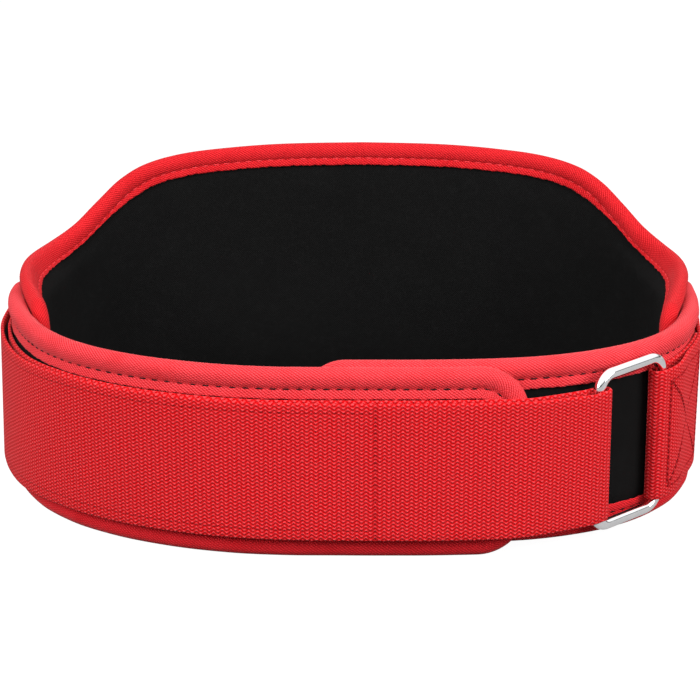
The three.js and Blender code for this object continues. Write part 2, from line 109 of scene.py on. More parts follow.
@dataclass(frozen=True)
class Oval:
    """The plan that all layers follow: a superellipse, |x/a|^n + |y/b|^n = 1.

    Attributes:
        half_width: a, along X.
        half_depth: b, along Y.
        exponent: n.
        centre: Its middle in the frame.
    """

    half_width: float = 0.1875
    half_depth: float = 0.130
    exponent: float = 2.8
    centre: tuple[float, float] = (0.0026, 0.0087)

    @cached_property
    def walk(self) -> tuple[Array, Array]:
        """Lengths along the oval and the points there, close together and once round."""
        angle = np.linspace(0.0, 2.0 * np.pi, 12001)
        power = 2.0 / self.exponent
        x = self.half_width * np.sign(np.sin(angle)) * np.abs(np.sin(angle)) ** power
        y = -self.half_depth * np.sign(np.cos(angle)) * np.abs(np.cos(angle)) ** power
        points = np.stack([x, y], 1)
        steps = np.linalg.norm(np.diff(points, axis=0), axis=1)
        return np.concatenate([[0.0], np.cumsum(steps)]), points + np.array(self.centre)

    @property
    def perimeter(self) -> float:
        """Once round the oval."""
        return float(self.walk[0][-1])

    @property
    def quarter(self) -> float:
        """From the middle of the front to the middle of a side."""
        return self.perimeter / 4.0

    def on(self, along: Array) -> Array:
        """The oval's points at those lengths, read straight between the walk's points."""
        lengths, points = self.walk
        wrapped = np.mod(along, self.perimeter)
        return np.stack([np.interp(wrapped, lengths, points[:, k]) for k in (0, 1)], -1)

    def outward(self, along: Array) -> Array:
        """Unit vectors out of the oval: the way across the chord from 5 mm before to 5 mm after."""
        heading = self.on(along + 0.005) - self.on(along - 0.005)
        heading /= np.linalg.norm(heading, axis=-1, keepdims=True)
        return np.stack([heading[..., 1], -heading[..., 0]], -1)

    def place(self, along: Array, out: Array) -> Array:
        """Plan points that lie out from the oval: its point plus out times its outward vector."""
        along, out = np.broadcast_arrays(np.asarray(along, float), np.asarray(out, float))
        return self.on(along) + out[..., None] * self.outward(along)

    def signed(self, along: Array) -> Array:
        """The same places counted from the middle of the front, at most half way round."""
        return along - self.perimeter * np.round(along / self.perimeter)


@dataclass(frozen=True)
class Layout:
    """How far outside the oval each layer runs, and how high each pad stands.

    Attributes:
        wing_height: The two front wings' height.
        back_height: The back panel's height in its middle.
        left_end: Where the left wing ends in front.
        right_end: Where the right wing ends in front, behind the left one.
        reach: How far the wings go past the middle of each side.
        lap_ramp: How long the left wing takes to climb over the right one.
        lap_step: How far it climbs.
        back_half: Half the back panel's length.
        back_turn: How far its middle is turned from the oval's.
        nest_ramp: How long the back panel takes to come out from inside the wings.
        nest_step: How far inside the wings it lies.
        lean_below: How far below the wings' top the back panel starts to lean out over them.
        lean_share: How much of the nest step it has leant out by at its top.
        lean_ramp: How far from its ends it leans fully.
        side_lean: How far out the wings' tops lean at the belt's two sides.
        side_from, side_ramp: The quarter share where that lean starts, and how long it takes.
        lean_height: How much of a wing's height leans.
        pads: The pads' middle, as a share of the half depth outside the oval, against quarters.
        rise: The back panel's top edge, against the share of its half length.
    """

    oval: Oval = field(default_factory=Oval)
    wing_height: float = 0.1022
    back_height: float = 0.1593
    left_end: float = 0.0872
    right_end: float = -0.027
    reach: float = 0.042
    lap_ramp: float = 0.168
    lap_step: float = 0.0124
    back_half: float = 0.312
    back_turn: float = -0.0047
    nest_ramp: float = 0.080
    nest_step: float = 0.0096
    lean_below: float = 0.006
    lean_share: float = 1.08
    lean_ramp: float = 0.088
    side_lean: float = 0.0017
    side_from: float = 0.72
    side_ramp: float = 0.22
    lean_height: float = 0.013
    pads: Curve = Curve(
        (-2.0, -1.25, -1.1, -1.0, -0.9, -0.8, -0.68, -0.53, -0.38, -0.21, 0.0,
         0.22, 0.38, 0.62, 0.8, 1.0, 1.2, 1.5, 2.0),
        (0.0, 0.009, 0.015, 0.012, -0.016, -0.041, -0.043, -0.032, -0.018, -0.006, -0.006,
         0.001, 0.003, -0.023, -0.026, -0.004, 0.002, -0.008, 0.0),
    )
    rise: Curve = Curve(
        (0.0, 0.156, 0.26, 0.354, 0.427, 0.479, 0.526, 0.578, 0.635, 0.708, 0.812, 0.885, 0.938, 1.0),
        (1.0, 0.985, 0.954, 0.908, 0.822, 0.685, 0.495, 0.305, 0.208, 0.17, 0.14, 0.105, 0.07, 0.025),
    )

    @property
    def rear_end(self) -> float:
        """Where both wings end behind, as a length from the middle of the front."""
        return self.oval.quarter + self.reach

    @property
    def back_middle(self) -> float:
        """The place along the oval of the back panel's middle."""
        return 2.0 * self.oval.quarter + self.back_turn

    def pad_run(self, along: Array) -> Array:
        """The pads' middle: the half depth times the pads curve at the place in quarters."""
        return self.oval.half_depth * self.pads(self.oval.signed(along) / self.oval.quarter)

    def left_run(self, along: Array) -> Array:
        """The left wing's middle: the pads' run plus the lap step, which rises before the lap."""
        return self.pad_run(along) + self.lap_step * smooth((along - self.right_end) / self.lap_ramp + 1.0)

    def wing_lean(self, along: Array, height: Array) -> Array:
        """How far out a wing's top leans at the sides: the side lean, smooth over its lean height."""
        quarters = np.abs(self.oval.signed(along)) / self.oval.quarter
        side = smooth((quarters - self.side_from) / self.side_ramp)
        return self.side_lean * side * smooth((height - self.wing_height + self.lean_height) / self.lean_height)

    def back_top(self, along: Array) -> Array:
        """The back panel's top edge: the wings' height plus the rise curve's share of the rest."""
        out = np.abs(along - self.back_middle) / self.back_half
        return self.wing_height + (self.back_height - self.wing_height) * self.rise(out)

    def stand(self, along: Array, out: Array, height: Array) -> Array:
        """Stands places up round the oval, out from it and at their heights."""
        along, out, height = np.broadcast_arrays(along, out, height)
        return np.concatenate([self.oval.place(along, out), height[..., None]], -1)

    def back_run(self, along: Array, height: Array) -> Array:
        """The back panel's middle: the pads' run less the nest step, which fades behind the wings
        and, by the lean share, above them, where it has gone t of its way to the top by 1 - (1 - t)^2."""
        nested = 1.0 - smooth((np.abs(self.oval.signed(along)) - self.rear_end) / self.nest_ramp)
        start = self.wing_height - self.lean_below
        risen = 1.0 - (1.0 - np.clip((height - start) / (self.back_top(along) - start), 0, 1)) ** 2
        from_end = self.back_half - np.abs(along - self.back_middle)
        lean = self.lean_share * risen * smooth(from_end / self.lean_ramp)
        return self.pad_run(along) - self.nest_step * nested * (1.0 - lean)


# Meshes


def grid_faces(rows: int, columns: int, wrap_rows: bool, wrap_columns: bool) -> tuple[Array, Array]:
    """The four-sided faces of a grid of points.

    Args:
        rows: Points one way.
        columns: Points the other way, next to each other in memory.
        wrap_rows: Whether the last row joins the first.
        wrap_columns: Whether the last column joins the first.

    Returns:
        The faces as point numbers, and the same faces as row and column numbers that don't wrap.
    """
    i, j = np.meshgrid(
        np.arange(rows - (not wrap_rows)), np.arange(columns - (not wrap_columns)), indexing="ij")
    around = ((0, 0), (1, 0), (1, 1), (0, 1))
    corners = np.stack([np.stack([i + a, j + b], -1) for a, b in around], -2).reshape(-1, 4, 2)
    return (corners[..., 0] % rows) * columns + corners[..., 1] % columns, corners


def make_object(
    name: str, points: Array, faces: Array, uvs: Array | None = None,
    materials: list[bpy.types.Material] | None = None, index: Array | None = None,
    caps: list[list[int]] | None = None,
) -> bpy.types.Object:
    """Makes a smooth-shaded mesh object at the origin.

    Args:
        name: The object's name.
        points: Its points, N by 3.
        faces: Its four-sided faces, M by 4 point numbers.
        uvs: A place on the cloth for each face corner, M by 4 by 2, in metres.
        materials: The materials that it wears.
        index: Which of them each face wears.
        caps: More faces, of any number of corners, which close open ends.

    Returns:
        The new object, linked to the scene.
    """
    caps = caps or []
    mesh = bpy.data.meshes.new(name)
    loops = np.concatenate([faces.reshape(-1), *[np.array(c) for c in caps]]).astype(np.int32)
    sizes = np.array([4] * len(faces) + [len(c) for c in caps], np.int32)
    mesh.vertices.add(len(points))
    mesh.vertices.foreach_set("co", np.ascontiguousarray(points, np.float32).reshape(-1))
    mesh.loops.add(len(loops))
    mesh.loops.foreach_set("vertex_index", loops)
    mesh.polygons.add(len(sizes))
    mesh.polygons.foreach_set("loop_start", np.concatenate([[0], np.cumsum(sizes)[:-1]]).astype(np.int32))
    mesh.polygons.foreach_set("use_smooth", np.ones(len(sizes), bool))
    if index is not None:
        worn = np.concatenate([index, np.zeros(len(caps))]).astype(np.int32)
        mesh.polygons.foreach_set("material_index", worn)
    if uvs is not None:
        layer = mesh.uv_layers.new(name="Cloth")
        flat = np.concatenate([uvs.reshape(-1, 2), np.zeros((len(loops) - faces.size, 2))])
        layer.data.foreach_set("uv", flat.astype(np.float32).reshape(-1))
    mesh.update(calc_edges=True)
    mesh.validate()
    for material in materials or []:
        mesh.materials.append(material)
    made = bpy.data.objects.new(name, mesh)
    bpy.context.scene.collection.objects.link(made)
    return made


def outward_faces(points: Array, faces: Array, uvs: Array) -> tuple[Array, Array]:
    """Turns a closed skin's faces over if the volume that they hold comes out negative.

    Args:
        points: The skin's points.
        faces: Its four-sided faces.
        uvs: Their places on the cloth.

    Returns:
        The faces and their places on the cloth, with the faces pointing out.
    """
    a, b, c, d = (points[faces[:, k]] for k in range(4))
    volume = np.einsum("ij,ij->", a, np.cross(b, c)) + np.einsum("ij,ij->", a, np.cross(c, d))
    return (faces, uvs) if volume > 0 else (faces[:, ::-1], uvs[:, ::-1])


def swept_object(
    name: str, rings: Array, along: Array, across: Array, closed: bool, material: bpy.types.Material,
) -> bpy.types.Object:
    """A skin through rings of points, each ring one closed section.

    Args:
        name: The object's name.
        rings: The sections, path by ring by 3.
        along: The length to each section, with one more value where the path closes.
        across: The length round the section to each point, with one more value for its close.
        closed: Whether the last section joins the first.
        material: What it wears.

    Returns:
        The new object. An open path is closed at both ends by faces across the section.
    """
    count, size = rings.shape[:2]
    faces, corners = grid_faces(count, size, closed, True)
    uvs = np.stack([along[corners[..., 0]], across[corners[..., 1]]], -1)
    points = rings.reshape(-1, 3)
    turned, uvs = outward_faces(points, faces, uvs)
    caps = []
    if not closed:
        flip = 1 if turned[0, 0] == faces[0, 0] else -1
        first, last = list(range(size)), list(range((count - 1) * size, count * size))
        caps = [first[::flip], last[::-flip]]
    return make_object(name, points, turned, uvs, [material], caps=caps)


def wobble(along: Array, height: Array, size: float, seed: int) -> Array:
    """A soft uneven surface: seven sine waves that run in different ways, lengths 18 to 90 mm.

    Args:
        along: Places along the piece.
        height: Places across it.
        size: The most that the waves reach together.
        seed: Picks their ways and starts.

    Returns:
        How far the surface lies out at each place.
    """
    rng = np.random.default_rng(seed)
    total = np.zeros(np.broadcast(along, height).shape)
    for length in np.geomspace(0.018, 0.09, 7):
        turn, start = rng.uniform(-1.2, 1.2), rng.uniform(0, 2 * np.pi)
        total = total + np.sin(2 * np.pi * (along * np.cos(turn) + height * np.sin(turn)) / length + start)
    return size * total / 7.0 * 1.6


# Shader node groups


class Op(Enum):
    """The arithmetic that a Math node does."""

    ADD = "ADD"
    SUBTRACT = "SUBTRACT"
    MULTIPLY = "MULTIPLY"
    DIVIDE = "DIVIDE"
    SINE = "SINE"
    ABSOLUTE = "ABSOLUTE"
    MAXIMUM = "MAXIMUM"
    PINGPONG = "PINGPONG"
    LESS = "LESS_THAN"


Socket = bpy.types.NodeSocket


class Graph:
    """Adds nodes to one tree and joins them."""

    def __init__(self, tree: bpy.types.NodeTree) -> None:
        """Keeps the tree."""
        self.tree = tree

    def node(self, kind: str, **settings: object) -> bpy.types.Node:
        """A new node of that kind with those settings."""
        made = self.tree.nodes.new(kind)
        for name, value in settings.items():
            setattr(made, name, value)
        return made

    def feed(self, socket: Socket, value: Socket | float | tuple) -> None:
        """Joins a socket to another, or sets its value."""
        if isinstance(value, bpy.types.NodeSocket):
            self.tree.links.new(value, socket)
        else:
            socket.default_value = value

    def math(self, op: Op, *values: Socket | float) -> Socket:
        """One step of arithmetic on sockets or numbers."""
        made = self.node("ShaderNodeMath", operation=op.value)
        for socket, value in zip(made.inputs, values):
            self.feed(socket, value)
        return made.outputs[0]

    def wave(self, phase: Socket) -> Socket:
        """A wave from 0 to 1 once for each whole step of the phase."""
        sine = self.math(Op.SINE, self.math(Op.MULTIPLY, phase, 2.0 * math.pi))
        return self.math(Op.ADD, self.math(Op.MULTIPLY, sine, 0.5), 0.5)

    def ramp(
        self, value: Socket, low: float, high: float, to_low: float = 0.0, to_high: float = 1.0,
    ) -> Socket:
        """A clamped straight change from one pair of values to another."""
        made = self.node("ShaderNodeMapRange", clamp=True)
        for socket, number in zip(made.inputs, (value, low, high, to_low, to_high)):
            self.feed(socket, number)
        return made.outputs[0]

    def blend(self, share: Socket | float, a: Socket | tuple, b: Socket | tuple) -> Socket:
        """A colour between two colours."""
        made = self.node("ShaderNodeMix", data_type="RGBA")
        self.feed(made.inputs["Factor"], share)
        self.feed(made.inputs["A"], a)
        self.feed(made.inputs["B"], b)
        return made.outputs["Result"]

    def noise(self, vector: Socket, scale: float, detail: float = 2.0) -> Socket:
        """A noise value from 0 to 1."""
        made = self.node("ShaderNodeTexNoise")
        self.feed(made.inputs["Vector"], vector)
        made.inputs["Scale"].default_value = scale
        made.inputs["Detail"].default_value = detail
        return made.outputs["Fac"]


def open_group(
    name: str, inputs: dict[str, float], outputs: list[str],
) -> tuple[bpy.types.NodeTree, Graph, dict, dict]:
    """Starts a shader node group whose sockets are all values.

    Args:
        name: The group's name.
        inputs: Each input's name and its first value.
        outputs: The outputs' names.

    Returns:
        The group, a graph on it, its inputs as sockets to read and its outputs as sockets to feed.
    """
    tree = bpy.data.node_groups.new(name, "ShaderNodeTree")
    for label, value in inputs.items():
        tree.interface.new_socket(label, in_out="INPUT", socket_type="NodeSocketFloat").default_value = value
    for label in outputs:
        tree.interface.new_socket(label, in_out="OUTPUT", socket_type="NodeSocketFloat")
    graph = Graph(tree)
    enter, leave = graph.node("NodeGroupInput"), graph.node("NodeGroupOutput")
    return (tree, graph, {label: enter.outputs[label] for label in inputs},
            {label: leave.inputs[label] for label in outputs})


def webbing_group() -> bpy.types.NodeTree:
    """Zig-zag ribs of coarse webbing: a sine across the strap, bent to and fro along it, whose yarns
    stand up where they turn back."""
    tree, g, take, give = open_group(
        "Webbing ribs", {"Along": 0.0, "Across": 0.0, "Zigzag": 0.00465, "Rib": 0.00203, "Bend": 0.00078},
        ["Height", "Hollow"])
    column = g.math(Op.DIVIDE, take["Along"], take["Zigzag"])
    tri = g.math(Op.SUBTRACT, g.math(Op.MULTIPLY, g.math(Op.PINGPONG, column, 0.5), 4.0), 1.0)
    eased = g.math(Op.SINE, g.math(Op.MULTIPLY, tri, 1.35))
    bent = g.math(Op.ADD, take["Across"], g.math(Op.MULTIPLY, eased, take["Bend"]))
    rib = g.wave(g.math(Op.DIVIDE, bent, take["Rib"]))
    knot = g.wave(g.math(Op.ADD, g.math(Op.MULTIPLY, column, 2.0), 0.25))
    crown = g.math(Op.MULTIPLY, rib, g.ramp(knot, 0.0, 1.0, 0.28, 1.0))
    g.feed(give["Height"], crown)
    g.feed(give["Hollow"], g.ramp(crown, 0.8, 0.12))
    return tree


def twill_group() -> bpy.types.NodeTree:
    """Fine slanting cords of a twill tape, each broken into short floats."""
    tree, g, take, give = open_group(
        "Twill cords", {"Along": 0.0, "Across": 0.0, "Cord": 0.0021, "Float": 0.0013, "Slant": 1.3},
        ["Height", "Hollow"])
    slanted = g.math(Op.ADD, take["Along"], g.math(Op.MULTIPLY, take["Across"], take["Slant"]))
    cord = g.wave(g.math(Op.DIVIDE, slanted, take["Cord"]))
    other = g.math(Op.SUBTRACT, take["Across"], g.math(Op.MULTIPLY, take["Along"], 0.35))
    broken = g.wave(g.math(Op.DIVIDE, other, take["Float"]))
    height = g.math(Op.MULTIPLY, cord, g.ramp(broken, 0.0, 1.0, 0.4, 1.0))
    g.feed(give["Height"], height)
    g.feed(give["Hollow"], g.ramp(height, 0.7, 0.05))
    return tree


def plain_weave_group() -> bpy.types.NodeTree:
    """A fine plain weave: threads one way stand up where those the other way go under."""
    tree, g, take, give = open_group(
        "Plain weave", {"Along": 0.0, "Across": 0.0, "Pitch": 0.0009}, ["Height", "Hollow"])
    x = g.math(Op.DIVIDE, take["Along"], take["Pitch"])
    y = g.math(Op.DIVIDE, take["Across"], take["Pitch"])
    warp, weft = g.wave(x), g.wave(y)
    product = g.math(Op.MULTIPLY, g.math(Op.SUBTRACT, warp, 0.5), g.math(Op.SUBTRACT, weft, 0.5))
    height = g.math(Op.ADD, g.math(Op.MULTIPLY, product, 2.0), 0.5)
    g.feed(give["Height"], height)
    g.feed(give["Hollow"], g.ramp(height, 0.45, 0.05))
    return tree


def seam_group() -> bpy.types.NodeTree:
    """A straight row of stitching sunk in the cloth: a soft furrow with a pit at each stitch end."""
    tree, g, take, give = open_group(
        "Stitched seam", {"Place": 0.0, "At": 0.0, "Run": 0.0, "Pitch": 0.0042, "Width": 0.0009}, ["Furrow"])
    gap = g.math(Op.ABSOLUTE, g.math(Op.SUBTRACT, take["Place"], take["At"]))
    away = g.math(Op.DIVIDE, gap, take["Width"])
    furrow = g.ramp(away, 1.0, 0.0)
    pit = g.ramp(g.wave(g.math(Op.DIVIDE, take["Run"], take["Pitch"])), 0.55, 0.95, 0.45, 1.0)
    g.feed(give["Furrow"], g.math(Op.MULTIPLY, furrow, pit))
    return tree


# Finishes


@dataclass(frozen=True)
class Finish:
    """What all the belt's finishes share.

    Attributes:
        name: The material's name.
        roughness: The surface's roughness.
        sheen: How much soft light its fibres catch.
        shine: Its specular level.
    """

    name: str
    roughness: float = 0.8
    sheen: float = 0.15
    shine: float = 0.2

    def start(self) -> tuple[bpy.types.Material, Graph, bpy.types.Node]:
        """A new material, a graph on it and its Principled shader with the fixed values set."""
        material = bpy.data.materials.new(self.name)
        material.use_nodes = True
        shader = material.node_tree.nodes["Principled BSDF"]
        shader.inputs["Roughness"].default_value = self.roughness
        shader.inputs["Sheen Weight"].default_value = self.sheen
        shader.inputs["Sheen Roughness"].default_value = 0.4
        shader.inputs["Specular IOR Level"].default_value = self.shine
        return material, Graph(material.node_tree), shader

    def places(self, g: Graph) -> tuple[Socket, Socket]:
        """The two lengths of the piece's own cloth map."""
        uv = g.node("ShaderNodeUVMap", uv_map="Cloth")
        split = g.node("ShaderNodeSeparateXYZ")
        g.feed(split.inputs[0], uv.outputs[0])
        return split.outputs[0], split.outputs[1]

    def use(self, g: Graph, tree: bpy.types.NodeTree, **values: Socket | float) -> bpy.types.Node:
        """Places a node group with those inputs."""
        made = g.node("ShaderNodeGroup", node_tree=tree)
        for label, value in values.items():
            g.feed(made.inputs[label], value)
        return made

    def bump(self, g: Graph, shader: bpy.types.Node, height: Socket, depth: float) -> None:
        """Gives the shader a relief of that depth in metres."""
        made = g.node("ShaderNodeBump")
        made.inputs["Strength"].default_value = 1.0
        made.inputs["Distance"].default_value = depth
        g.feed(made.inputs["Height"], height)
        g.feed(shader.inputs["Normal"], made.outputs[0])


@dataclass(frozen=True)
class WebbingFinish(Finish):
    """Coarse ribbed webbing.

    Attributes:
        bright: The colour of the ribs' crowns.
        deep: The colour in the hollows.
        seam: The length along it where a row of stitching crosses it and two long rows start.
        edge_row: How far from its middle the two long rows run.
        relief: How far the ribs stand up.
    """

    bright: tuple[float, float, float] = (0.80, 0.056, 0.066)
    deep: tuple[float, float, float] = (0.49, 0.0008, 0.0025)
    seam: float = 0.0
    edge_row: float = 0.0327
    relief: float = 0.0005

    def build(self, ribs: bpy.types.NodeTree, seam: bpy.types.NodeTree) -> bpy.types.Material:
        """Makes the material from the rib and seam groups."""
        material, g, shader = self.start()
        along, across = self.places(g)
        space = g.node("ShaderNodeTexCoord").outputs["Object"]
        bent = g.math(Op.ADD, across, g.math(Op.MULTIPLY, g.noise(space, 30.0, 3.0), 0.0012))
        weave = self.use(g, ribs, Along=along, Across=bent)
        colour = g.blend(weave.outputs["Hollow"], (*self.bright, 1.0), (*self.deep, 1.0))
        worn = g.ramp(g.noise(space, 700.0), 0.45, 0.75, 0.0, 0.35)
        colour = g.blend(worn, colour, (*[c * 0.6 for c in self.bright], 1.0))
        cross = self.use(g, seam, Place=along, At=self.seam, Run=across, Width=0.0017).outputs["Furrow"]
        beyond = g.math(Op.LESS, self.seam, along)
        away = g.math(Op.ABSOLUTE, across)
        edge = self.use(g, seam, Place=away, At=self.edge_row, Run=along).outputs["Furrow"]
        furrow = g.math(Op.MAXIMUM, cross, g.math(Op.MULTIPLY, edge, g.math(Op.MULTIPLY, beyond, 0.7)))
        # The stitched furrows darken the colour towards half the hollow colour: painted shade in the sunk
        # seams.
        colour = g.blend(g.math(Op.MULTIPLY, furrow, 0.6), colour, (*[c * 0.5 for c in self.deep], 1.0))
        height = g.math(Op.SUBTRACT, weave.outputs["Height"], furrow)
        g.feed(shader.inputs["Base Color"], colour)
        g.feed(shader.inputs["Roughness"], g.ramp(weave.outputs["Hollow"], 0.0, 1.0, 0.62, 0.95))
        self.bump(g, shader, height, self.relief)
        return material


@dataclass(frozen=True)
class TapeFinish(Finish):
    """Twill binding tape.

    Attributes:
        bright: Its colour on the cords.
        deep: Its colour between them.
        foot: Its colour on the cords along the belt's foot, darker than bright: painted shade near the floor.
        relief: How far the cords stand up.
    """

    bright: tuple[float, float, float] = (0.79, 0.068, 0.082)
    deep: tuple[float, float, float] = (0.44, 0.0015, 0.004)
    foot: tuple[float, float, float] = (0.72, 0.026, 0.036)
    relief: float = 0.00022

    def build(self, twill: bpy.types.NodeTree) -> bpy.types.Material:
        """Makes the material from the twill group."""
        material, g, shader = self.start()
        along, across = self.places(g)
        weave = self.use(g, twill, Along=along, Across=across)
        space = g.node("ShaderNodeTexCoord").outputs["Object"]
        split = g.node("ShaderNodeSeparateXYZ")
        g.feed(split.inputs[0], space)
        # From 80 mm down to 20 mm the cords fade to the darker foot colour: painted shade near the floor.
        cords = g.blend(g.ramp(split.outputs[2], 0.02, 0.08), (*self.foot, 1.0), (*self.bright, 1.0))
        colour = g.blend(g.math(Op.MULTIPLY, weave.outputs["Hollow"], 0.8), cords, (*self.deep, 1.0))
        worn = g.noise(space, 60.0, 4.0)
        colour = g.blend(g.ramp(worn, 0.5, 0.8, 0.0, 0.35), colour, (*self.deep, 1.0))
        g.feed(shader.inputs["Base Color"], colour)
        g.feed(shader.inputs["Roughness"], g.ramp(weave.outputs["Hollow"], 0.0, 1.0, 0.6, 0.9))
        grain = g.noise(space, 900.0, 2.0)
        height = g.math(Op.ADD, weave.outputs["Height"], g.math(Op.MULTIPLY, grain, 0.5))
        self.bump(g, shader, height, self.relief)
        return material


@dataclass(frozen=True)
class DarkCloth(Finish):
    """Black cloth over foam.

    Attributes:
        colour: Its colour on the threads.
        pitch: The distance from thread to thread.
        relief: How far the threads stand up.
    """

    colour: tuple[float, float, float] = (0.0085, 0.0085, 0.009)
    pitch: float = 0.0009
    relief: float = 0.00012

    def build(self, weave_group: bpy.types.NodeTree) -> bpy.types.Material:
        """Makes the material from the plain weave group."""
        material, g, shader = self.start()
        along, across = self.places(g)
        weave = self.use(g, weave_group, Along=along, Across=across, Pitch=self.pitch)
        space = g.node("ShaderNodeTexCoord").outputs["Object"]
        dark = (*[c * 0.45 for c in self.colour], 1.0)
        light = (*[c * 1.5 for c in self.colour], 1.0)
        colour = g.blend(g.math(Op.MULTIPLY, weave.outputs["Hollow"], 0.8), (*self.colour, 1.0), dark)
        colour = g.blend(g.ramp(g.noise(space, 240.0, 3.0), 0.5, 0.8, 0.0, 0.5), colour, light)
        g.feed(shader.inputs["Base Color"], colour)
        g.feed(shader.inputs["Roughness"], g.ramp(g.noise(space, 35.0), 0.3, 0.7, 0.82, 0.95))
        height = g.math(Op.ADD, weave.outputs["Height"], g.math(Op.MULTIPLY, g.noise(space, 500.0), 0.8))
        self.bump(g, shader, height, self.relief)
        return material


@dataclass(frozen=True)
class ThreadFinish(Finish):
    """Sewing thread with a slight twist.

    Attributes:
        colour: Its colour.
    """

    colour: tuple[float, float, float] = (0.6, 0.03, 0.04)

    def build(self) -> bpy.types.Material:
        """Makes the material."""
        material, g, shader = self.start()
        grain = g.noise(g.node("ShaderNodeTexCoord").outputs["Object"], 2200.0, 2.0)
        dark = (*[c * 0.55 for c in self.colour], 1.0)
        g.feed(shader.inputs["Base Color"], g.blend(g.ramp(grain, 0.4, 0.7), (*self.colour, 1.0), dark))
        self.bump(g, shader, grain, 0.0001)
        return material


@dataclass(frozen=True)
class PlatedSteel(Finish):
    """Bright plated wire, with the slight unevenness that polishing leaves.

    Attributes:
        colour: Its colour.
        smeared: Its colour where the polish is uneven.
        relief: How deep the unevenness is.
    """

    colour: tuple[float, float, float] = (0.95, 0.95, 0.96)
    smeared: tuple[float, float, float] = (0.86, 0.87, 0.88)
    relief: float = 0.00002

    def build(self) -> bpy.types.Material:
        """Makes the material."""
        material, g, shader = self.start()
        space = g.node("ShaderNodeTexCoord").outputs["Object"]
        shader.inputs["Metallic"].default_value = 1.0
        smear = g.noise(space, 90.0, 4.0)
        colour = g.blend(g.ramp(smear, 0.4, 0.7), (*self.colour, 1.0), (*self.smeared, 1.0))
        g.feed(shader.inputs["Base Color"], colour)
        g.feed(shader.inputs["Roughness"], g.ramp(smear, 0.3, 0.75, 0.07, 0.13))
        self.bump(g, shader, g.noise(space, 120.0, 2.0), self.relief)
        return material


@dataclass
class Wardrobe:
    """All the finishes, made once."""

    def __post_init__(self) -> None:
        """Builds the node groups and then the materials."""
        self.ribs, self.seam = webbing_group(), seam_group()
        twill, plain = twill_group(), plain_weave_group()
        self.tape = TapeFinish("Red twill tape", 0.7, 0.08, 0.06).build(twill)
        self.shaded_tape = TapeFinish(
            "Red twill tape in shade", 0.7, 0.05, 0.06, (0.66, 0.023, 0.029), (0.36, 0.001, 0.003)).build(twill)
        self.outer = DarkCloth(
            "Black outer cloth", 0.9, 0.0, 0.1, (0.003, 0.0028, 0.0028), 0.0008).build(plain)
        self.lining = DarkCloth(
            "Black lining", 0.95, 0.0, 0.05, (0.0054, 0.0054, 0.0054), 0.0014, 0.00018).build(plain)
        self.hooks = DarkCloth(
            "Black hook tape", 0.9, 0.02, 0.1, (0.005, 0.005, 0.005), 0.0016, 0.0005).build(plain)
        self.dark_thread = ThreadFinish("Dark thread", 0.7, 0.0, 0.2, (0.02, 0.001, 0.002)).build()
        self.red_thread = ThreadFinish("Red thread", 0.7, 0.1, 0.2, (0.8, 0.04, 0.05)).build()
        # A darker copy of the red thread: painted shade where the box stitches sink into the webbing.
        self.shaded_red_thread = ThreadFinish("Red thread in painted shade", 0.7, 0.05, 0.1, (0.4, 0.006, 0.01)).build()
        self.steel = PlatedSteel("Plated steel", 0.1, 0.0, 0.5).build()

    def webbing(self, seam: float) -> bpy.types.Material:
        """The webbing's finish, with its rows of stitching from that length on."""
        return WebbingFinish("Red webbing", 0.75, 0.06, 0.06, seam=seam).build(self.ribs, self.seam)


# Stitches


def sew(
    name: str, lay: Callable[[Array, Array, float], Array], rows: list[Array], pitch: float,
    length: float, radius: float, material: bpy.types.Material,
) -> bpy.types.Object:
    """Rows of short arched stitches in one mesh.

    Each stitch is a tube along its row whose radius is the given one times the root of 1 - t^4, and
    whose middle line lies over the cloth by the radius times 0.35 - t^2, for t from -1 to 1, so
    that both its ends dive in.

    Args:
        name: The object's name.
        lay: Turns places along and across the cloth, and a height over it, into points.
        rows: Lines of places, each K by 2.
        pitch: From stitch to stitch.
        length: A stitch's length.
        radius: The thread's radius.
        material: What it wears.

    Returns:
        The new object.
    """
    places, ahead, behind = [], [], []
    for row in rows:
        walked = np.concatenate([[0.0], np.cumsum(np.linalg.norm(np.diff(row, axis=0), axis=1))])
        at = (np.arange(int(walked[-1] / pitch)) + 0.5) * pitch
        for kept, shift in ((places, 0.0), (ahead, 0.0004), (behind, -0.0004)):
            kept.append(np.stack([np.interp(at + shift, walked, row[:, k]) for k in (0, 1)], 1))
    places, ahead, behind = (np.concatenate(kept) for kept in (places, ahead, behind))
    middles = lay(places[:, 0], places[:, 1], 0.0)
    ways = lay(ahead[:, 0], ahead[:, 1], 0.0) - lay(behind[:, 0], behind[:, 1], 0.0)
    ways /= np.linalg.norm(ways, axis=1, keepdims=True)
    ups = lay(places[:, 0], places[:, 1], 0.0005) - middles
    ups -= ways * np.sum(ups * ways, 1, keepdims=True)
    ups /= np.linalg.norm(ups, axis=1, keepdims=True)
    sides = np.cross(ways, ups)
    t = np.linspace(-0.97, 0.97, 6)
    angle = np.linspace(0, 2 * np.pi, 6, endpoint=False)
    line = middles[:, None] + ways[:, None] * (t * length / 2)[:, None]
    line = line + ups[:, None] * (radius * (0.35 - t ** 2))[:, None]
    spread = np.cos(angle)[:, None] * sides[:, None] + np.sin(angle)[:, None] * ups[:, None]
    thick = radius * np.sqrt(1.0 - t ** 4)
    points = (line[:, :, None] + thick[:, None, None] * spread[:, None]).reshape(-1, 3)
    one, _ = grid_faces(6, 6, False, True)
    start = (np.arange(len(middles)) * 36)[:, None, None]
    ends = np.array([[0, 1, 2, 3], [0, 3, 4, 5], [33, 32, 31, 30], [35, 34, 33, 30]])
    faces = np.concatenate([(one[None] + start).reshape(-1, 4), (ends[None] + start).reshape(-1, 4)])
    a, b, c = (points[faces[0, k]] for k in range(3))
    if np.dot(np.cross(b - a, c - a), a - line[0].mean(0)) < 0:
        faces = faces[:, ::-1]
    return make_object(name, points, faces, None, [material])


# Padded panels and their bindings


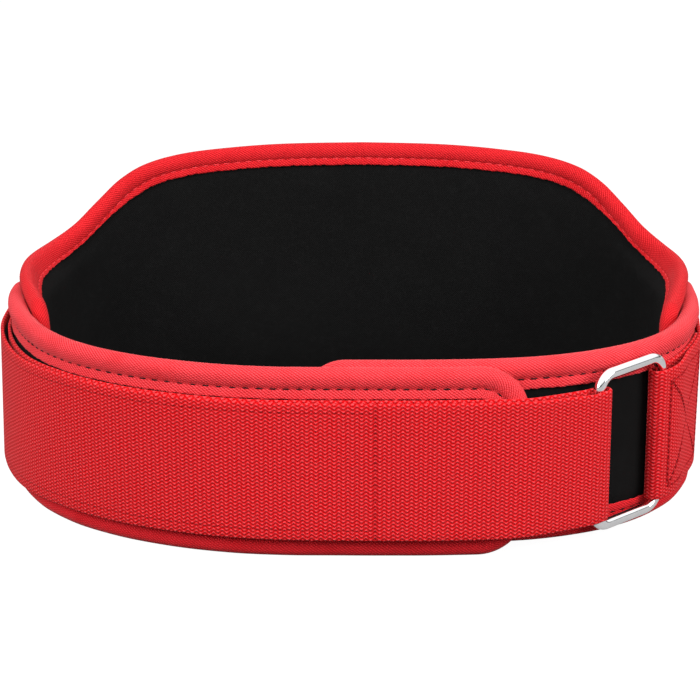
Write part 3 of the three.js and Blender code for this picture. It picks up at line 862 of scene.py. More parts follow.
@dataclass(frozen=True)
class PadShape:
    """A piece of flat pad: its ends, its corner radius, its top edge and where it runs."""

    start: float
    end: float
    corner: float
    top: Callable[[Array], Array]
    run: Callable[[Array, Array], Array]


@dataclass
class Panel:
    """One padded panel with its folded binding and the binding's stitches.

    Attributes:
        node: The CAD node of the pad.
        shape: Its flat shape and where it runs.
        layout: The belt's layout.
        wardrobe: The finishes.
        seed: Picks the way of its soft unevenness.
        rim: How far inside the binding's edge the pad's own edge lies.
        rim_half, edge_half, body_half: Half its thickness at its edge, at the binding's hem and in
            its body.
        tube_half: Half the binding's thickness at its rolled edge.
        tube_depth: How deep the roll is.
        groove_half, hem_half: Half its thickness where it is sewn and at its cut edge.
        stitch_depth: How far from the edge it is sewn.
        hem_depth: How far it reaches over the pad.
        drawn: How much less far it reaches over the two lobes.
        pitch: From stitch to stitch.
        stitch: A stitch's length.
        puckers: How far the tape's puckers stand up.
        swell: The most that its foam swells when it is puffed, over that many frames.
        foot_lift: How far its foot hangs clear of the floor where the strap carries it.
    """

    node: str
    shape: PadShape
    layout: Layout
    wardrobe: Wardrobe
    seed: int
    rim: float = 0.0017
    rim_half: float = 0.002
    edge_half: float = 0.0033
    body_half: float = 0.0043
    tube_half: float = 0.0053
    tube_depth: float = 0.0052
    groove_half: float = 0.0037
    hem_half: float = 0.0048
    stitch_depth: float = 0.0090
    hem_depth: float = 0.0130
    drawn: float = 0.0
    pitch: float = 0.0067
    stitch: float = 0.0044
    puckers: float = 0.00022
    foot_lift: float = 0.0
    swell: float = 0.0006
    puff_frames: int = 10

    def sheet(self, along: Array, height: Array, out: Array) -> Array:
        """Bends places on the flat sheet round the oval, at their run plus out, with the foot lifted
        by the square of what is left of the lowest 30 mm, most near the side, up to 40 mm before the
        rear end."""
        points = self.layout.stand(along, self.shape.run(along, height) + out, height)
        low = np.clip(1.0 - points[..., 2] / 0.03, 0.0, 1.0) ** 2
        more = 1.0 + 0.7 * smooth((along - 0.13) / 0.05)
        points[..., 2] += self.foot_lift * more * low * smooth((self.shape.end - 0.04 - along) / 0.06)
        return points

    def depth_inside(self, along: Array, height: Array) -> Array:
        """How far inside the outline a place lies: the nearer of its end and its edge, and near a
        corner the corner radius less the distance to the corner's centre."""
        slope = (self.shape.top(along + 0.001) - self.shape.top(along - 0.001)) / 0.002
        end = np.minimum(along - self.shape.start, self.shape.end - along)
        edge = np.minimum(height, (self.shape.top(along) - height) / np.hypot(1.0, slope))
        r = self.shape.corner
        rounded = r - np.hypot(r - np.minimum(end, r), r - np.minimum(edge, r))
        return np.where((end >= r) | (edge >= r), np.minimum(end, edge), rounded)

    def half_thickness(self, depth: Array) -> Array:
        """Half the pad's thickness: straight from the rim to the hem, then a smooth shoulder."""
        in_share = np.clip((depth - self.rim) / (self.hem_depth - self.rim), 0, 1)
        under = mix(self.rim_half, self.edge_half, in_share)
        return mix(under, self.body_half, smooth((depth - self.hem_depth - 0.0002) / 0.005))

    def build_pad(self) -> bpy.types.Object:
        """Two skins over one grid of the flat shape, joined round the rim.

        The columns stand where the outline is straight and close up round the corners, the rows
        close up towards both edges, and each skin lies half the thickness off the middle plus a
        soft wobble.

        Returns:
            The pad.
        """
        s, r = self.shape, self.shape.corner - self.rim
        low, high = s.start + s.corner, s.end - s.corner
        angle = np.linspace(0, np.pi / 2, 9)
        middle = np.linspace(low, high, max(8, round((high - low) / 0.0032)))[1:-1]
        along = np.concatenate([low - r * np.sin(angle[::-1]), middle, high + r * np.sin(angle)])
        round_end = s.corner - r * np.cos(angle)
        lift = np.concatenate([round_end[::-1], np.full(len(middle), self.rim), round_end])
        centre = np.clip(along, low, high)
        slope = (s.top(centre + 0.001) - s.top(centre - 0.001)) / 0.002
        head = s.top(centre) - lift * np.hypot(1.0, slope)
        t = np.linspace(0, 1, max(28, round(float(s.top(np.array([(low + high) / 2]))[0]) / 0.0026)))
        t = t - 0.7 * np.sin(2 * np.pi * t) / (2 * np.pi)
        height = lift[:, None] + (head - lift)[:, None] * t
        along = np.broadcast_to(along[:, None], height.shape)
        depth = self.depth_inside(along, height)
        half = self.half_thickness(depth)
        open_part = smooth((depth - self.hem_depth) / 0.02)
        soft = wobble(along, height, 0.00028, self.seed) * open_part
        outer = self.sheet(along, height, half + soft)
        inner = self.sheet(along, height, -half + soft)
        columns, rows = height.shape
        faces, corners = grid_faces(columns, rows, False, False)
        uv = np.stack([along, height], -1).reshape(-1, 2)
        size = columns * rows
        points = np.concatenate([outer.reshape(-1, 3), inner.reshape(-1, 3)])
        border = np.concatenate([
            np.arange(columns) * rows, (columns - 1) * rows + np.arange(1, rows),
            (np.arange(columns - 1)[::-1]) * rows + rows - 1, np.arange(1, rows - 1)[::-1],
        ])
        following = np.roll(border, -1)
        rim_faces = np.stack([border, following, following + size, border + size], 1)
        all_faces = np.concatenate([faces[:, ::-1], faces + size, rim_faces])
        all_uvs = np.concatenate([uv[faces[:, ::-1]], uv[faces], uv[rim_faces % size]])
        index = np.concatenate([np.zeros(len(faces)), np.ones(len(faces)), np.zeros(len(rim_faces))])
        turned, all_uvs = outward_faces(points, all_faces, all_uvs)
        cloths = [self.wardrobe.outer, self.wardrobe.lining]
        pad = make_object(self.node, points, turned, all_uvs, cloths, index)
        self.puff(pad, np.tile(depth.reshape(-1), 2))
        return pad

    def puff(self, pad: bpy.types.Object, depth: Array) -> None:
        """Swells the foam between its sewn edges: a short cloth simulation with air in the pad, the
        edge pinned, whose moves are kept under the swell and then written into the mesh.

        Args:
            pad: The pad, built a little thin.
            depth: How far inside the outline each of its points lies.
        """
        sewn = pad.vertex_groups.new(name="Sewn")
        sewn.add(np.flatnonzero(depth < self.stitch_depth).tolist(), 1.0, "REPLACE")
        cloth = pad.modifiers.new("Puff", "CLOTH")
        cloth.settings.quality = 4
        cloth.settings.vertex_group_mass = "Sewn"
        cloth.settings.use_pressure = True
        cloth.settings.uniform_pressure_force = 4.0
        cloth.settings.effector_weights.gravity = 0.0
        scene, count = bpy.context.scene, len(pad.data.vertices)
        for number in range(1, self.puff_frames + 1):
            scene.frame_set(number)
        before, after = np.empty(count * 3, np.float32), np.empty(count * 3, np.float32)
        pad.data.vertices.foreach_get("co", before)
        pad.evaluated_get(bpy.context.evaluated_depsgraph_get()).data.vertices.foreach_get("co", after)
        move = (after - before).reshape(-1, 3)
        far = np.linalg.norm(move, axis=1, keepdims=True)
        LOG.info("%s swells by up to %.2f mm, mean %.2f", pad.name, far.max() * 1000, far.mean() * 1000)
        kept = self.swell * np.tanh(far / self.swell) / np.maximum(far, 1e-9)
        pad.modifiers.remove(cloth)
        pad.vertex_groups.clear()
        scene.frame_set(1)
        pad.data.vertices.foreach_set("co", (before.reshape(-1, 3) + move * kept).reshape(-1))
        pad.data.update()

    def outline(self, spacing: float) -> dict[str, Array]:
        """Walks the pad's outline once, anticlockwise seen from outside.

        Args:
            spacing: From place to place.

        Returns:
            For each place its along and height, the unit way into the pad, and the length walked,
            which has one more value for the close.
        """
        s, r = self.shape, self.shape.corner
        low, high = s.start + r, s.end - r
        angle = np.linspace(0, np.pi / 2, 24)
        run = np.linspace(low, high, 400)
        t_high, t_low = float(s.top(np.array([high]))[0]), float(s.top(np.array([low]))[0])
        pieces = [
            np.stack([run, 0 * run], 1),
            np.stack([high + r * np.sin(angle), r - r * np.cos(angle)], 1),
            np.stack([high + r * np.cos(angle), t_high - r + r * np.sin(angle)], 1),
            np.stack([run[::-1], s.top(run[::-1])], 1),
            np.stack([low - r * np.sin(angle), t_low - r + r * np.cos(angle)], 1),
            np.stack([low - r * np.cos(angle), r - r * np.sin(angle)], 1),
        ]
        path = np.concatenate(pieces)
        path = path[np.concatenate([[True], np.linalg.norm(np.diff(path, axis=0), axis=1) > 1e-6])]
        path = np.concatenate([path, path[:1]])
        length = np.concatenate([[0.0], np.cumsum(np.linalg.norm(np.diff(path, axis=0), axis=1))])
        count = round(length[-1] / spacing)
        walked = np.linspace(0, length[-1], count + 1)
        even = np.stack([np.interp(walked[:-1], length, path[:, k]) for k in (0, 1)], 1)
        way = np.roll(even, -2, 0) - np.roll(even, 2, 0)
        way /= np.linalg.norm(way, axis=1, keepdims=True)
        return {"along": even[:, 0], "height": even[:, 1], "in_along": -way[:, 1],
                "in_height": way[:, 0], "walked": walked}

    def section(self) -> tuple[Array, Array, Array]:
        """Half the folded tape's section: the roll is a quarter of an ellipse, then come the sewn
        groove, the hem, its cut edge and the way back along the inside.

        Returns:
            The depth from the edge, the distance out, and how much of the groove's sewing and
            puckers each point takes.
        """
        a = np.linspace(0, np.pi / 2, 9)
        roll = np.stack([
            self.tube_depth * (1 - np.cos(a)), self.tube_half * np.sin(a), np.sin(a) ** 2 * 0.5], 1)
        t = np.linspace(0, 1, 7)[1:]
        sewn, end = self.stitch_depth, self.hem_depth
        fall = np.stack([
            mix(self.tube_depth, sewn, t), mix(self.tube_half, self.groove_half, t ** 2.6),
            mix(0.5, 1.0, t)], 1)
        hem = np.stack([
            mix(sewn, end - 0.0006, t), mix(self.groove_half, self.hem_half, np.sqrt(t)),
            0.8 * (1 - t)], 1)
        cut = np.array([[end, self.hem_half - 0.0003, 0.0], [end, 0.0041, 0.0]])
        back = np.array([[sewn + 0.0012, 0.0034, 0.0], [0.0045, 0.0032, 0.0], [0.0014, 0.0025, 0.0]])
        half = np.concatenate([roll, fall, hem, cut, back])
        other = half[:0:-1] * np.array([1.0, -1.0, 1.0])
        whole = np.concatenate([half, np.array([[0.0011, 0.0, 0.0]]), other])
        return whole[:, 0], whole[:, 1], whole[:, 2]

    def rest(self, height: Array) -> Array:
        """Flattens what rests: heights near the floor come down by 0.2 mm and stop there."""
        return np.maximum(height - 0.0002 * (1.0 - smooth(height / 0.012)), 0.0)

    def build_binding(self) -> bpy.types.Object:
        """Carries the tape's section round the outline, drawn in at each stitch and puckered.

        At each stitch the groove lies deeper by a bell curve along the walk, slanting puckers are a
        sine of the walk plus the depth, and the cut edge reaches a little further between stitches.

        Returns:
            The binding.
        """
        o = self.outline(0.00125)
        depth, out, sewn = self.section()
        walk = o["walked"][:-1, None]
        near = np.abs(np.mod(walk / self.pitch, 1.0) - 0.5)
        pit = np.exp(-((near / 0.22) ** 2)) * 0.0003
        sign = np.sign(out)[None]
        slant = np.sin(2 * np.pi * (walk - depth[None] * sign) / 0.0034)
        ripple = self.puckers * slant * sewn[None] * (depth[None] < self.stitch_depth)
        moved = out[None] - sign * (pit * (sewn[None] > 0.9)) + sign * ripple
        swell = 1.0 + 0.03 * np.sin(walk * 2 * np.pi / 0.083 + self.seed)
        swell = swell + 0.02 * np.sin(walk * 2 * np.pi / 0.031)
        frayed = 0.00012 * (np.sin(2 * np.pi * walk / self.pitch) + np.sin(2 * np.pi * walk / 0.0047)
                            + np.sin(2 * np.pi * walk / 0.0161))
        reach = depth[None] + frayed * smooth((depth[None] - self.stitch_depth) / 0.003)
        centre, half = (self.shape.start + self.shape.end) / 2, (self.shape.end - self.shape.start) / 2
        lobe = smooth((np.abs(o["along"][:, None] - centre) / half - 0.46) / 0.1)
        beyond = np.clip((depth[None] - self.stitch_depth) / (self.hem_depth - self.stitch_depth), 0, 1)
        reach = reach - self.drawn * lobe * beyond
        along = o["along"][:, None] + o["in_along"][:, None] * reach
        height = o["height"][:, None] + o["in_height"][:, None] * reach
        rings = self.sheet(along, height, moved * swell)
        rings[..., 2] = self.rest(rings[..., 2])
        across = np.concatenate([[0.0], np.cumsum(np.hypot(np.diff(depth), np.diff(out)))])
        across = np.concatenate([across, [across[-1] + math.hypot(depth[0] - depth[-1], out[0] - out[-1])]])
        tape = self.wardrobe.shaded_tape if self.node == "back_panel" else self.wardrobe.tape
        return swept_object(self.node + "_binding", rings, o["walked"], across, True, tape)

    def build_stitches(self, side: int, material: bpy.types.Material, name: str) -> bpy.types.Object:
        """Stitches in the binding's groove on one face.

        Args:
            side: 1 for the outer face, -1 for the inner one.
            material: The thread's finish.
            name: The object's name.

        Returns:
            The stitches.
        """
        o = self.outline(0.00125)
        row = np.stack([o[k] + o["in_" + k] * self.stitch_depth for k in ("along", "height")], 1)
        lift = self.groove_half - 0.00012
        lay = lambda along, height, more: self.sheet(along, height, np.full(len(along), side * (lift + more)))
        return sew(name, lay, [row], self.pitch, self.stitch, 0.00042, material)

    def dress(self) -> None:
        """Builds the pad, its binding and its stitches, and gives each its place in the frame."""
        pad, binding = self.build_pad(), self.build_binding()
        own(pad, self.node)
        own(binding, self.node + "_binding" if self.node != "back_panel" else "back_binding")
        threads = ((1, self.wardrobe.dark_thread, "outer"), (-1, self.wardrobe.red_thread, "inner"))
        for side, material, tag in threads:
            own(self.build_stitches(side, material, f"{self.node}_{tag}_stitches"), None)


def settle(piece: bpy.types.Object) -> None:
    """Leans the belt's two soft sides as they stand, both towards -X: below 0.1 m, x falls by the
    share of the way down times the most, which comes in smoothly over the last 40 mm of each side."""
    count = len(piece.data.vertices)
    points = np.empty(count * 3, np.float32)
    piece.data.vertices.foreach_get("co", points)
    points = points.reshape(-1, 3)
    down = np.clip(1.0 - points[:, 2] / 0.1, 0.0, 1.0)
    right, left = smooth((points[:, 0] - 0.155) / 0.04), smooth((-points[:, 0] - 0.15) / 0.04)
    points[:, 0] -= down * SETTLES_BY * (right + left)
    piece.data.vertices.foreach_set("co", points.reshape(-1))
    piece.data.update()


def own(piece: bpy.types.Object, node: str | None) -> None:
    """Settles a piece, hides the CAD node that it stands for, if one is given, and rides it on the belt."""
    settle(piece)
    if node:
        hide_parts(node)
    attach(piece, "root")
    LOG.info("%s: %d points", piece.name, len(piece.data.vertices))


# Strap, hook tape and ring


@dataclass
class Closure:
    """The strap with its hook tape, the ring that it runs through and the stitches on it.

    Attributes:
        middle: The strap's middle height.
        width: The strap's width.
        width_at_ring: Its width where it turns round the ring.
        narrowing: How far from the ring it starts to narrow.
        webbing: Its thickness.
        tape, tape_width, tape_start: The hook tape's thickness, its width and where it starts.
        wire: The thickness of the ring's wire.
        ring_width, ring_height: Between the middles of its bars, across the webbing and up.
        ring_rise: How far its middle lies above the strap's.
        ring_corner: The radius of its corners.
        first_layer: From the pads' middle to the middle of the webbing that lies on them.
        second_layer: The same where it lies over its own sewn tail.
        outer_layer: The same for the outer turn, over the hook tape.
        turn: From a bar's middle to the middle of the webbing round it.
        tail, past_side: The sewn tail's length, and how far the free end reaches past the left side.
        front_slack, side_slack: Room under the outer turn in front and at the left side.
        crowding: How far the webbing's turns are pushed off the bars.
        end_bump: How far the webbing rises over the thick upright ends of the wings.
        climb, side_climb, left_dip: How far it climbs over the ring and beyond, and dips at the left.
        front_table, side_table: Where the two slacks lie, against quarters.
    """

    layout: Layout
    wardrobe: Wardrobe
    middle: float = 0.0493
    width: float = 0.0745
    width_at_ring: float = 0.072
    narrowing: float = 0.060
    webbing: float = 0.0020
    tape: float = 0.0012
    tape_width: float = 0.066
    tape_start: float = 0.012
    wire: float = 0.0062
    ring_width: float = 0.045
    ring_height: float = 0.0832
    ring_rise: float = 0.0013
    ring_corner: float = 0.0085
    first_layer: float = 0.0061
    second_layer: float = 0.0083
    outer_layer: float = 0.0098
    turn: float = 0.0044
    tail: float = 0.060
    past_side: float = 0.060
    front_slack: float = 0.0016
    side_slack: float = 0.0005
    crowding: float = 0.0016
    end_bump: float = 0.0007
    climb: float = 0.003
    side_climb: float = 0.0015
    left_dip: float = 0.0025
    front_table: Curve = Curve((-1.3, -0.6, -0.25, 0.0, 0.22, 0.5), (0.0, 0.0, 0.1, 1.0, 1.0, 0.0))
    side_table: Curve = Curve((-1.3, -1.0, -0.8, -0.6, 0.5), (0.2, 1.0, 0.4, 0.0, 0.0))

    def __post_init__(self) -> None:
        """Finds the ring's two bars from the CAD ring's box, which they fill from corner to corner."""
        low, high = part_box("ring")
        r = self.wire / 2
        self.front_bar = np.array([low[0] + r, low[1] + r])
        self.rear_bar = np.array([high[0] - r, high[1] - r])
        self.across = (self.rear_bar - self.front_bar) / np.linalg.norm(self.rear_bar - self.front_bar)
        self.outward = np.array([self.across[1], -self.across[0]])
        walk = np.linspace(0.05, 0.3, 2001)
        gap = np.linalg.norm(self.layout.oval.place(walk, self.layout.pad_run(walk)) - self.rear_bar, axis=1)
        self.rear_along = float(walk[gap.argmin()])
        gap = np.linalg.norm(self.layout.oval.place(walk, self.layout.pad_run(walk)) - self.front_bar, axis=1)
        self.front_along = float(walk[gap.argmin()])

    def slack(self, along: Array) -> Array:
        """Room under the outer turn: the two slacks times their curves."""
        at = self.layout.oval.signed(along) / self.layout.oval.quarter
        return self.front_slack * self.front_table(at) + self.side_slack * self.side_table(at)

    def over_ends(self, along: Array) -> Array:
        """The rise over each wing's end: a bell curve 15 mm wide about the end's roll."""
        lay, place = self.layout, self.layout.oval.signed(along)
        ends = (lay.left_end - 0.005, lay.rear_end - 0.005, 0.005 - lay.rear_end)
        return self.end_bump * sum(np.exp(-(((place - end) / 0.015) ** 2)) for end in ends)

    def half_width(self, distance: Array) -> Array:
        """Half the strap's width, which narrows towards the ring's bars."""
        return mix(self.width_at_ring, self.width, smooth(distance / self.narrowing)) / 2

    def bar_turn(self, bar: Array, side: int) -> Array:
        """Half a turn round a bar, from its back to its front, on the side that is given."""
        angle = np.linspace(0, np.pi, 15)[:, None]
        past = side * (self.crowding + np.sin(angle) * self.turn)
        return bar - np.cos(angle) * self.turn * self.outward + past * self.across

    def lift(self, plan: Array) -> Array:
        """How far the strap climbs: straight from the ring's front bar to its rear bar, a little more
        to the right side, and down at the far left. All of it fades towards the back."""
        x, y = plan[..., 0], plan[..., 1]
        start, end = self.front_bar[0], self.rear_bar[0]
        right = self.climb * np.clip((x - start) / (end - start), 0, 1)
        right = right + self.side_climb * smooth((x - end) / 0.03)
        return (right - self.left_dip * smooth((-x - 0.15) / 0.04)) * (1.0 - smooth((y - 0.02) / 0.08))

    def around_out(self, along: Array) -> Array:
        """How far out the webbing lies once round the belt, from the rear bar: off the bar, over
        its own sewn tail, and then on the pads."""
        lay, rear = self.layout, self.rear_along
        on_left = along > 3 * lay.oval.quarter - lay.reach
        run = np.where(on_left, lay.left_run(along - lay.oval.perimeter), lay.pad_run(along))
        settled = 1 - smooth((along - rear - self.tail) / 0.014)
        spread = smooth(1 - (along - rear - self.wire) / 0.027)
        over = mix(self.first_layer, self.second_layer, settled)
        return run + self.over_ends(along) + mix(over, self.first_layer + 2 * self.turn, spread)

    def strap_path(self) -> tuple[Array, Array, float]:
        """The strap's middle line in plan and its half width along it.

        It goes from the sewn tail to the rear bar, round it, once round the belt, to the front bar
        and through the ring, and back over itself to its free end.

        Returns:
            The plan points, the half widths, and the length at which the hook tape starts.
        """
        lay, oval = self.layout, self.layout.oval
        rear, front = self.rear_along, self.front_along
        tail_end = rear + self.tail
        a = np.arange(tail_end, rear + 0.002, -0.003)
        tail = oval.place(a, lay.pad_run(a) + self.first_layer + self.over_ends(a))
        b = np.arange(rear + self.wire * 0.8, oval.perimeter + lay.left_end + 0.0004, 0.003)
        around = oval.place(b, self.around_out(b))
        free = -oval.quarter - self.past_side
        c = np.arange(lay.left_end, free, -0.003)
        outer = oval.place(c, lay.left_run(c) + self.outer_layer + self.slack(c) + self.over_ends(c))
        turn_one, turn_two = self.bar_turn(self.rear_bar, -1), self.bar_turn(self.front_bar, 1)
        beside = -self.across * self.wire
        before = self.front_bar - self.outward * self.turn + beside
        after = self.front_bar + self.outward * self.turn + beside
        plan = np.concatenate([tail, turn_one, around, before[None], turn_two, after[None], outer])
        from_bar = np.concatenate([
            a - rear, np.zeros(15), np.minimum(b - rear, oval.perimeter + front - b),
            [self.wire], np.zeros(15), [self.wire], front - c,
        ])
        stiff = np.concatenate([
            np.ones(len(tail)), np.zeros(15), np.ones(len(around)),
            [0.3], np.zeros(15), [0.3], np.ones(len(outer)),
        ])
        length = np.concatenate([[0.0], np.cumsum(np.linalg.norm(np.diff(plan, axis=0), axis=1))])
        first = len(plan) - len(outer)
        seam = float(np.interp(-self.tape_start, -c, length[first:]))
        walked = np.linspace(0, length[-1], round(length[-1] / 0.0011))
        plan = np.stack([np.interp(walked, length, plan[:, k]) for k in (0, 1)], 1)
        half = self.half_width(np.interp(walked, length, from_bar))
        free_share = smooth(np.interp(walked, length, stiff))
        for width in (3, 5, 7):
            window = np.ones(2 * width + 1) / (2 * width + 1)
            longer = np.pad(plan, ((width, width), (0, 0)), mode="edge")
            pulled = np.stack([np.convolve(longer[:, k], window, "valid") for k in (0, 1)], 1)
            keep = np.minimum(1.0, np.minimum(np.arange(len(plan)), np.arange(len(plan))[::-1]) / width)
            plan = mix(plan, pulled, (free_share * keep)[:, None])
        return plan, half, seam

    def band(
        self, name: str, plan: Array, half: Array, thickness: float, material: bpy.types.Material,
    ) -> bpy.types.Object:
        """A flat band on edge along a plan path, its section a rectangle with round narrow sides.

        Args:
            name: The object's name.
            plan: The path's points.
            half: Half the band's width at each.
            thickness: Its thickness.
            material: What it wears.

        Returns:
            The band.
        """
        way = np.gradient(plan, axis=0)
        way /= np.linalg.norm(way, axis=1, keepdims=True)
        side = np.stack([way[:, 1], -way[:, 0]], 1)
        r = thickness / 2
        a = np.linspace(0, np.pi, 7)
        t = np.linspace(-1, 1, 22)[1:-1]
        out = np.concatenate([np.full(len(t), r), r * np.cos(a), np.full(len(t), -r), -r * np.cos(a)])
        level = np.concatenate([t, np.full(len(a), 1.0), -t, np.full(len(a), -1.0)])
        cap = np.concatenate([0 * t, r * np.sin(a), 0 * t, -r * np.sin(a)])
        height = self.middle + self.lift(plan)[:, None] + level[None] * (half[:, None] - r) + cap[None]
        place = plan[:, None] + side[:, None] * out[None, :, None]
        rings = np.concatenate([place, height[..., None]], -1)
        walked = np.concatenate([[0.0], np.cumsum(np.linalg.norm(np.diff(plan, axis=0), axis=1))])
        across = np.concatenate([level * self.width / 2 + cap, [level[0] * self.width / 2 + cap[0]]])
        return swept_object(name, rings, walked, across, False, material)

    def build_strap(self) -> bpy.types.Object:
        """The strap, along its own path."""
        plan, half, seam = self.strap_path()
        return self.band("strap", plan, half, self.webbing, self.wardrobe.webbing(seam))

    def build_box_stitch(self) -> bpy.types.Object:
        """A crossed box of stitches that holds the tail: four sides and both diagonals."""
        first, last, half = self.rear_along + 0.003, self.rear_along + self.tail - 0.008, 0.030
        corners = [(first, -half), (last, -half), (last, half), (first, half)]
        sides = [(corners[k], corners[(k + 1) % 4]) for k in range(4)]
        ends = sides + [(corners[0], corners[2]), (corners[1], corners[3])]
        rows = [np.linspace(a, b, 40) + np.array([0.0, self.middle]) for a, b in ends]
        lift = self.webbing / 2

        def lay(along: Array, height: Array, more: float) -> Array:
            """A place over the outermost webbing."""
            points = self.layout.stand(along, self.around_out(along) + lift + more, height)
            points[..., 2] += self.lift(points)
            return points

        # The box stitches wear the darker copy of the red thread: painted shade.
        return sew("box_stitches", lay, rows, 0.0032, 0.0029, 0.0004, self.wardrobe.shaded_red_thread)

    def build_tape(self) -> bpy.types.Object:
        """The hook tape, under the outer turn from its start to near the free end."""
        lay = self.layout
        end = -lay.oval.quarter - self.past_side + 0.004
        along = np.linspace(end, self.tape_start, round((self.tape_start - end) / 0.0015))
        over = self.outer_layer + self.slack(along) + self.over_ends(along)
        out = lay.left_run(along) + over - (self.tape + self.webbing) / 2 - 0.0002
        plan = lay.oval.place(along, out)
        half = np.full(len(plan), self.tape_width / 2)
        return self.band("hook_tape", plan, half, self.tape, self.wardrobe.hooks)

    def build_ring(self) -> bpy.types.Object:
        """Round wire along a rectangle with round corners, which stands across the webbing."""
        centre = (self.front_bar + self.rear_bar) / 2
        reach = np.array([self.ring_width / 2 - self.ring_corner, self.ring_height / 2 - self.ring_corner])
        angle = np.linspace(0, np.pi / 2, 16)
        arcs = []
        for k, corner in enumerate(((1, 1), (-1, 1), (-1, -1), (1, -1))):
            t = angle + k * np.pi / 2
            arcs.append(np.array(corner) * reach + self.ring_corner * np.stack([np.cos(t), np.sin(t)], 1))
        path = np.concatenate(arcs + [arcs[0][:1]])
        length = np.concatenate([[0.0], np.cumsum(np.linalg.norm(np.diff(path, axis=0), axis=1))])
        walked = np.linspace(0, length[-1], 221)
        even = np.stack([np.interp(walked[:-1], length, path[:, k]) for k in (0, 1)], 1)
        way = np.roll(even, -1, 0) - np.roll(even, 1, 0)
        way /= np.linalg.norm(way, axis=1, keepdims=True)
        away = np.stack([way[:, 1], -way[:, 0]], 1)
        turn = np.linspace(0, 2 * np.pi, 28, endpoint=False)
        r = self.wire / 2
        flat = even[:, None] + away[:, None] * (r * np.cos(turn))[None, :, None]
        out = np.broadcast_to(r * np.sin(turn), flat.shape[:2])
        plan = centre + flat[..., :1] * self.across + out[..., None] * self.outward
        height = self.middle + self.ring_rise + flat[..., 1] + self.lift(plan)
        rings = np.concatenate([plan, height[..., None]], -1)
        girth = np.concatenate([turn, [2 * np.pi]]) * r
        return swept_object("ring", rings, walked, girth, True, self.wardrobe.steel)

    def dress(self) -> None:
        """Builds the strap, the hook tape and the ring."""
        own(self.build_strap(), "strap")
        own(self.build_box_stitch(), None)
        own(self.build_tape(), "hook_tape")
        own(self.build_ring(), "ring")


# The studio


@dataclass(frozen=True)
class Lamp:
    """One soft square lamp aimed at the belt: its name, its place, its side and its power."""

    name: str
    place: tuple[float, float, float]
    size: float
    power: float

    def build(self) -> None:
        """Adds the lamp, pointing at the belt's middle."""
        data = bpy.data.lights.new(self.name, "AREA")
        data.size, data.energy = self.size, self.power
        lamp = bpy.data.objects.new(self.name, data)
        lamp.location = self.place
        lamp.rotation_mode = "QUATERNION"
        lamp.rotation_quaternion = (Vector((0, 0, 0.06)) - Vector(self.place)).to_track_quat("-Z", "Y")
        bpy.context.scene.collection.objects.link(lamp)


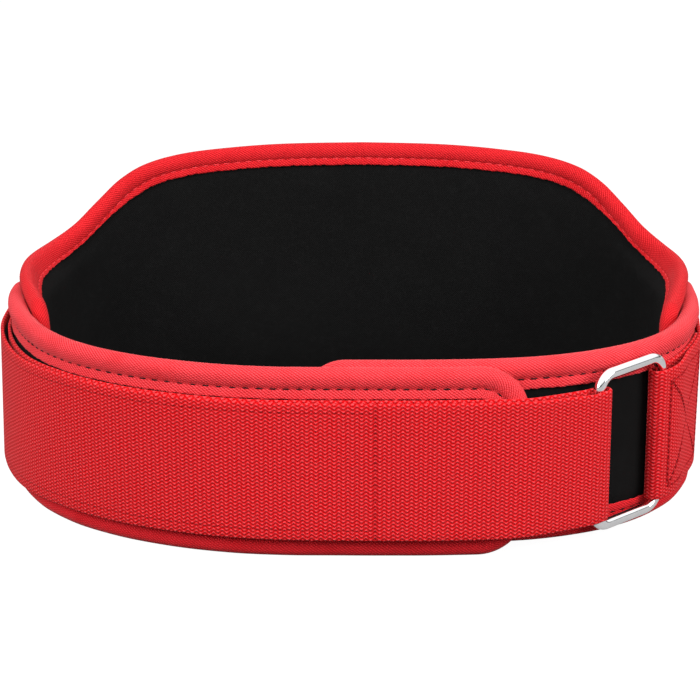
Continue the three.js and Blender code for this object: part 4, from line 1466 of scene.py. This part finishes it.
@dataclass
class Studio:
    """The camera, the pale floor and the soft lamps.

    Attributes:
        camera_place, camera_aim: Where the camera stands and what it looks at.
        focal_px: Its focal length in pixels of a picture 700 wide.
        sky: How bright the light from all round is.
        lamps: The lamps.
    """

    camera_place: tuple[float, float, float] = (0.0, -1.2944, 0.4740)
    camera_aim: tuple[float, float, float] = (0.0, 0.0085, 0.06735)
    focal_px: float = 2400.0
    sky: float = 0.48
    lamps: tuple[Lamp, ...] = (
        Lamp("Key", (-1.25, -1.1, 1.1), 1.0, 30.5),
        Lamp("Top", (0.1, -0.75, 1.9), 1.3, 22.0),
        Lamp("Fill", (1.5, -0.95, 0.85), 0.9, 29.5),
    )

    def build_camera(self) -> None:
        """The camera at the photograph's angle, its lens from the focal length in pixels of 700."""
        data = bpy.data.cameras.new("Camera")
        data.sensor_width = 36.0
        data.lens = 36.0 * self.focal_px / 700.0
        data.clip_end = 50.0
        camera = bpy.data.objects.new("Camera", data)
        camera.location = self.camera_place
        camera.rotation_mode = "QUATERNION"
        look = Vector(self.camera_aim) - Vector(self.camera_place)
        camera.rotation_quaternion = look.to_track_quat("-Z", "Y")
        bpy.context.scene.collection.objects.link(camera)
        bpy.context.scene.camera = camera

    def build_floor(self) -> None:
        """A wide floor under the belt, grey to the light that it throws back and pale to the camera and,
        less so, to bright metal."""
        size = 6.0
        points = np.array([[-size, -size, 0], [size, -size, 0], [size, size, 0], [-size, size, 0]], float)
        material = bpy.data.materials.new("Pale floor")
        material.use_nodes = True
        shader = material.node_tree.nodes["Principled BSDF"]
        shader.inputs["Base Color"].default_value = (0.12, 0.12, 0.12, 1.0)
        shader.inputs["Roughness"].default_value = 0.9
        shader.inputs["Specular IOR Level"].default_value = 0.0
        shader.inputs["Emission Color"].default_value = (1.0, 1.0, 1.0, 1.0)
        glow = Graph(material.node_tree)
        path = glow.node("ShaderNodeLightPath").outputs
        seen = glow.math(Op.MULTIPLY, path["Is Camera Ray"], 0.96)
        mirrored = glow.math(Op.MULTIPLY, path["Is Glossy Ray"], 0.36)
        glow.feed(shader.inputs["Emission Strength"], glow.math(Op.ADD, seen, mirrored))
        floor = make_object("floor", points, np.array([[0, 1, 2, 3]]), None, [material])

    def build_world(self) -> None:
        """Even pale light from all round, which bright metal sees as a studio: white overhead, a dark
        band a little above the horizon and grey below it."""
        world = bpy.data.worlds.new("World")
        world.use_nodes = True
        back, g = world.node_tree.nodes["Background"], Graph(world.node_tree)
        back.inputs["Color"].default_value = (1.0, 1.0, 1.0, 1.0)
        split = g.node("ShaderNodeSeparateXYZ")
        g.feed(split.inputs[0], g.node("ShaderNodeNewGeometry").outputs["Incoming"])
        up = g.math(Op.MULTIPLY, split.outputs[2], -1.0)
        off_band = g.math(Op.ABSOLUTE, g.math(Op.SUBTRACT, up, 0.3))
        room = g.math(Op.MULTIPLY, g.ramp(up, 0.0, 0.6, 0.5, 1.15), g.ramp(off_band, 0.04, 0.14, 0.12, 1.0))
        glossy = g.node("ShaderNodeLightPath").outputs["Is Glossy Ray"]
        seen = g.math(Op.MULTIPLY, glossy, g.math(Op.SUBTRACT, room, self.sky))
        g.feed(back.inputs["Strength"], g.math(Op.ADD, seen, self.sky))
        bpy.context.scene.world = world
        bpy.context.scene.view_settings.view_transform = "Standard"

    def build(self) -> None:
        """Sets up the whole studio."""
        self.build_camera()
        self.build_floor()
        self.build_world()
        for lamp in self.lamps:
            lamp.build()


def main() -> None:
    """Builds the studio and the belt's sub-assemblies in order."""
    logging.basicConfig(level=logging.INFO, format="%(name)s: %(message)s")
    Studio().build()
    layout, wardrobe = Layout(), Wardrobe()
    level = lambda along: np.full(np.shape(along), layout.wing_height)
    back = PadShape(layout.back_middle - layout.back_half, layout.back_middle + layout.back_half, 0.018,
                    layout.back_top, layout.back_run)
    left = PadShape(-layout.rear_end, layout.left_end, 0.025, level,
                    lambda u, h: layout.left_run(u) + layout.wing_lean(u, h))
    right = PadShape(layout.right_end, layout.rear_end, 0.022, level,
                     lambda u, h: layout.pad_run(u) + layout.wing_lean(u, h))
    Panel("back_panel", back, layout, wardrobe, 3, tube_half=0.0046, drawn=0.0030).dress()
    wide = {"stitch_depth": 0.0106, "hem_depth": 0.0159}
    Panel("left_wing", left, layout, wardrobe, 5, **wide).dress()
    Panel("right_wing", right, layout, wardrobe, 8, foot_lift=0.0018, **wide).dress()
    Closure(layout, wardrobe).dress()


if __name__ == "__main__":
    main()
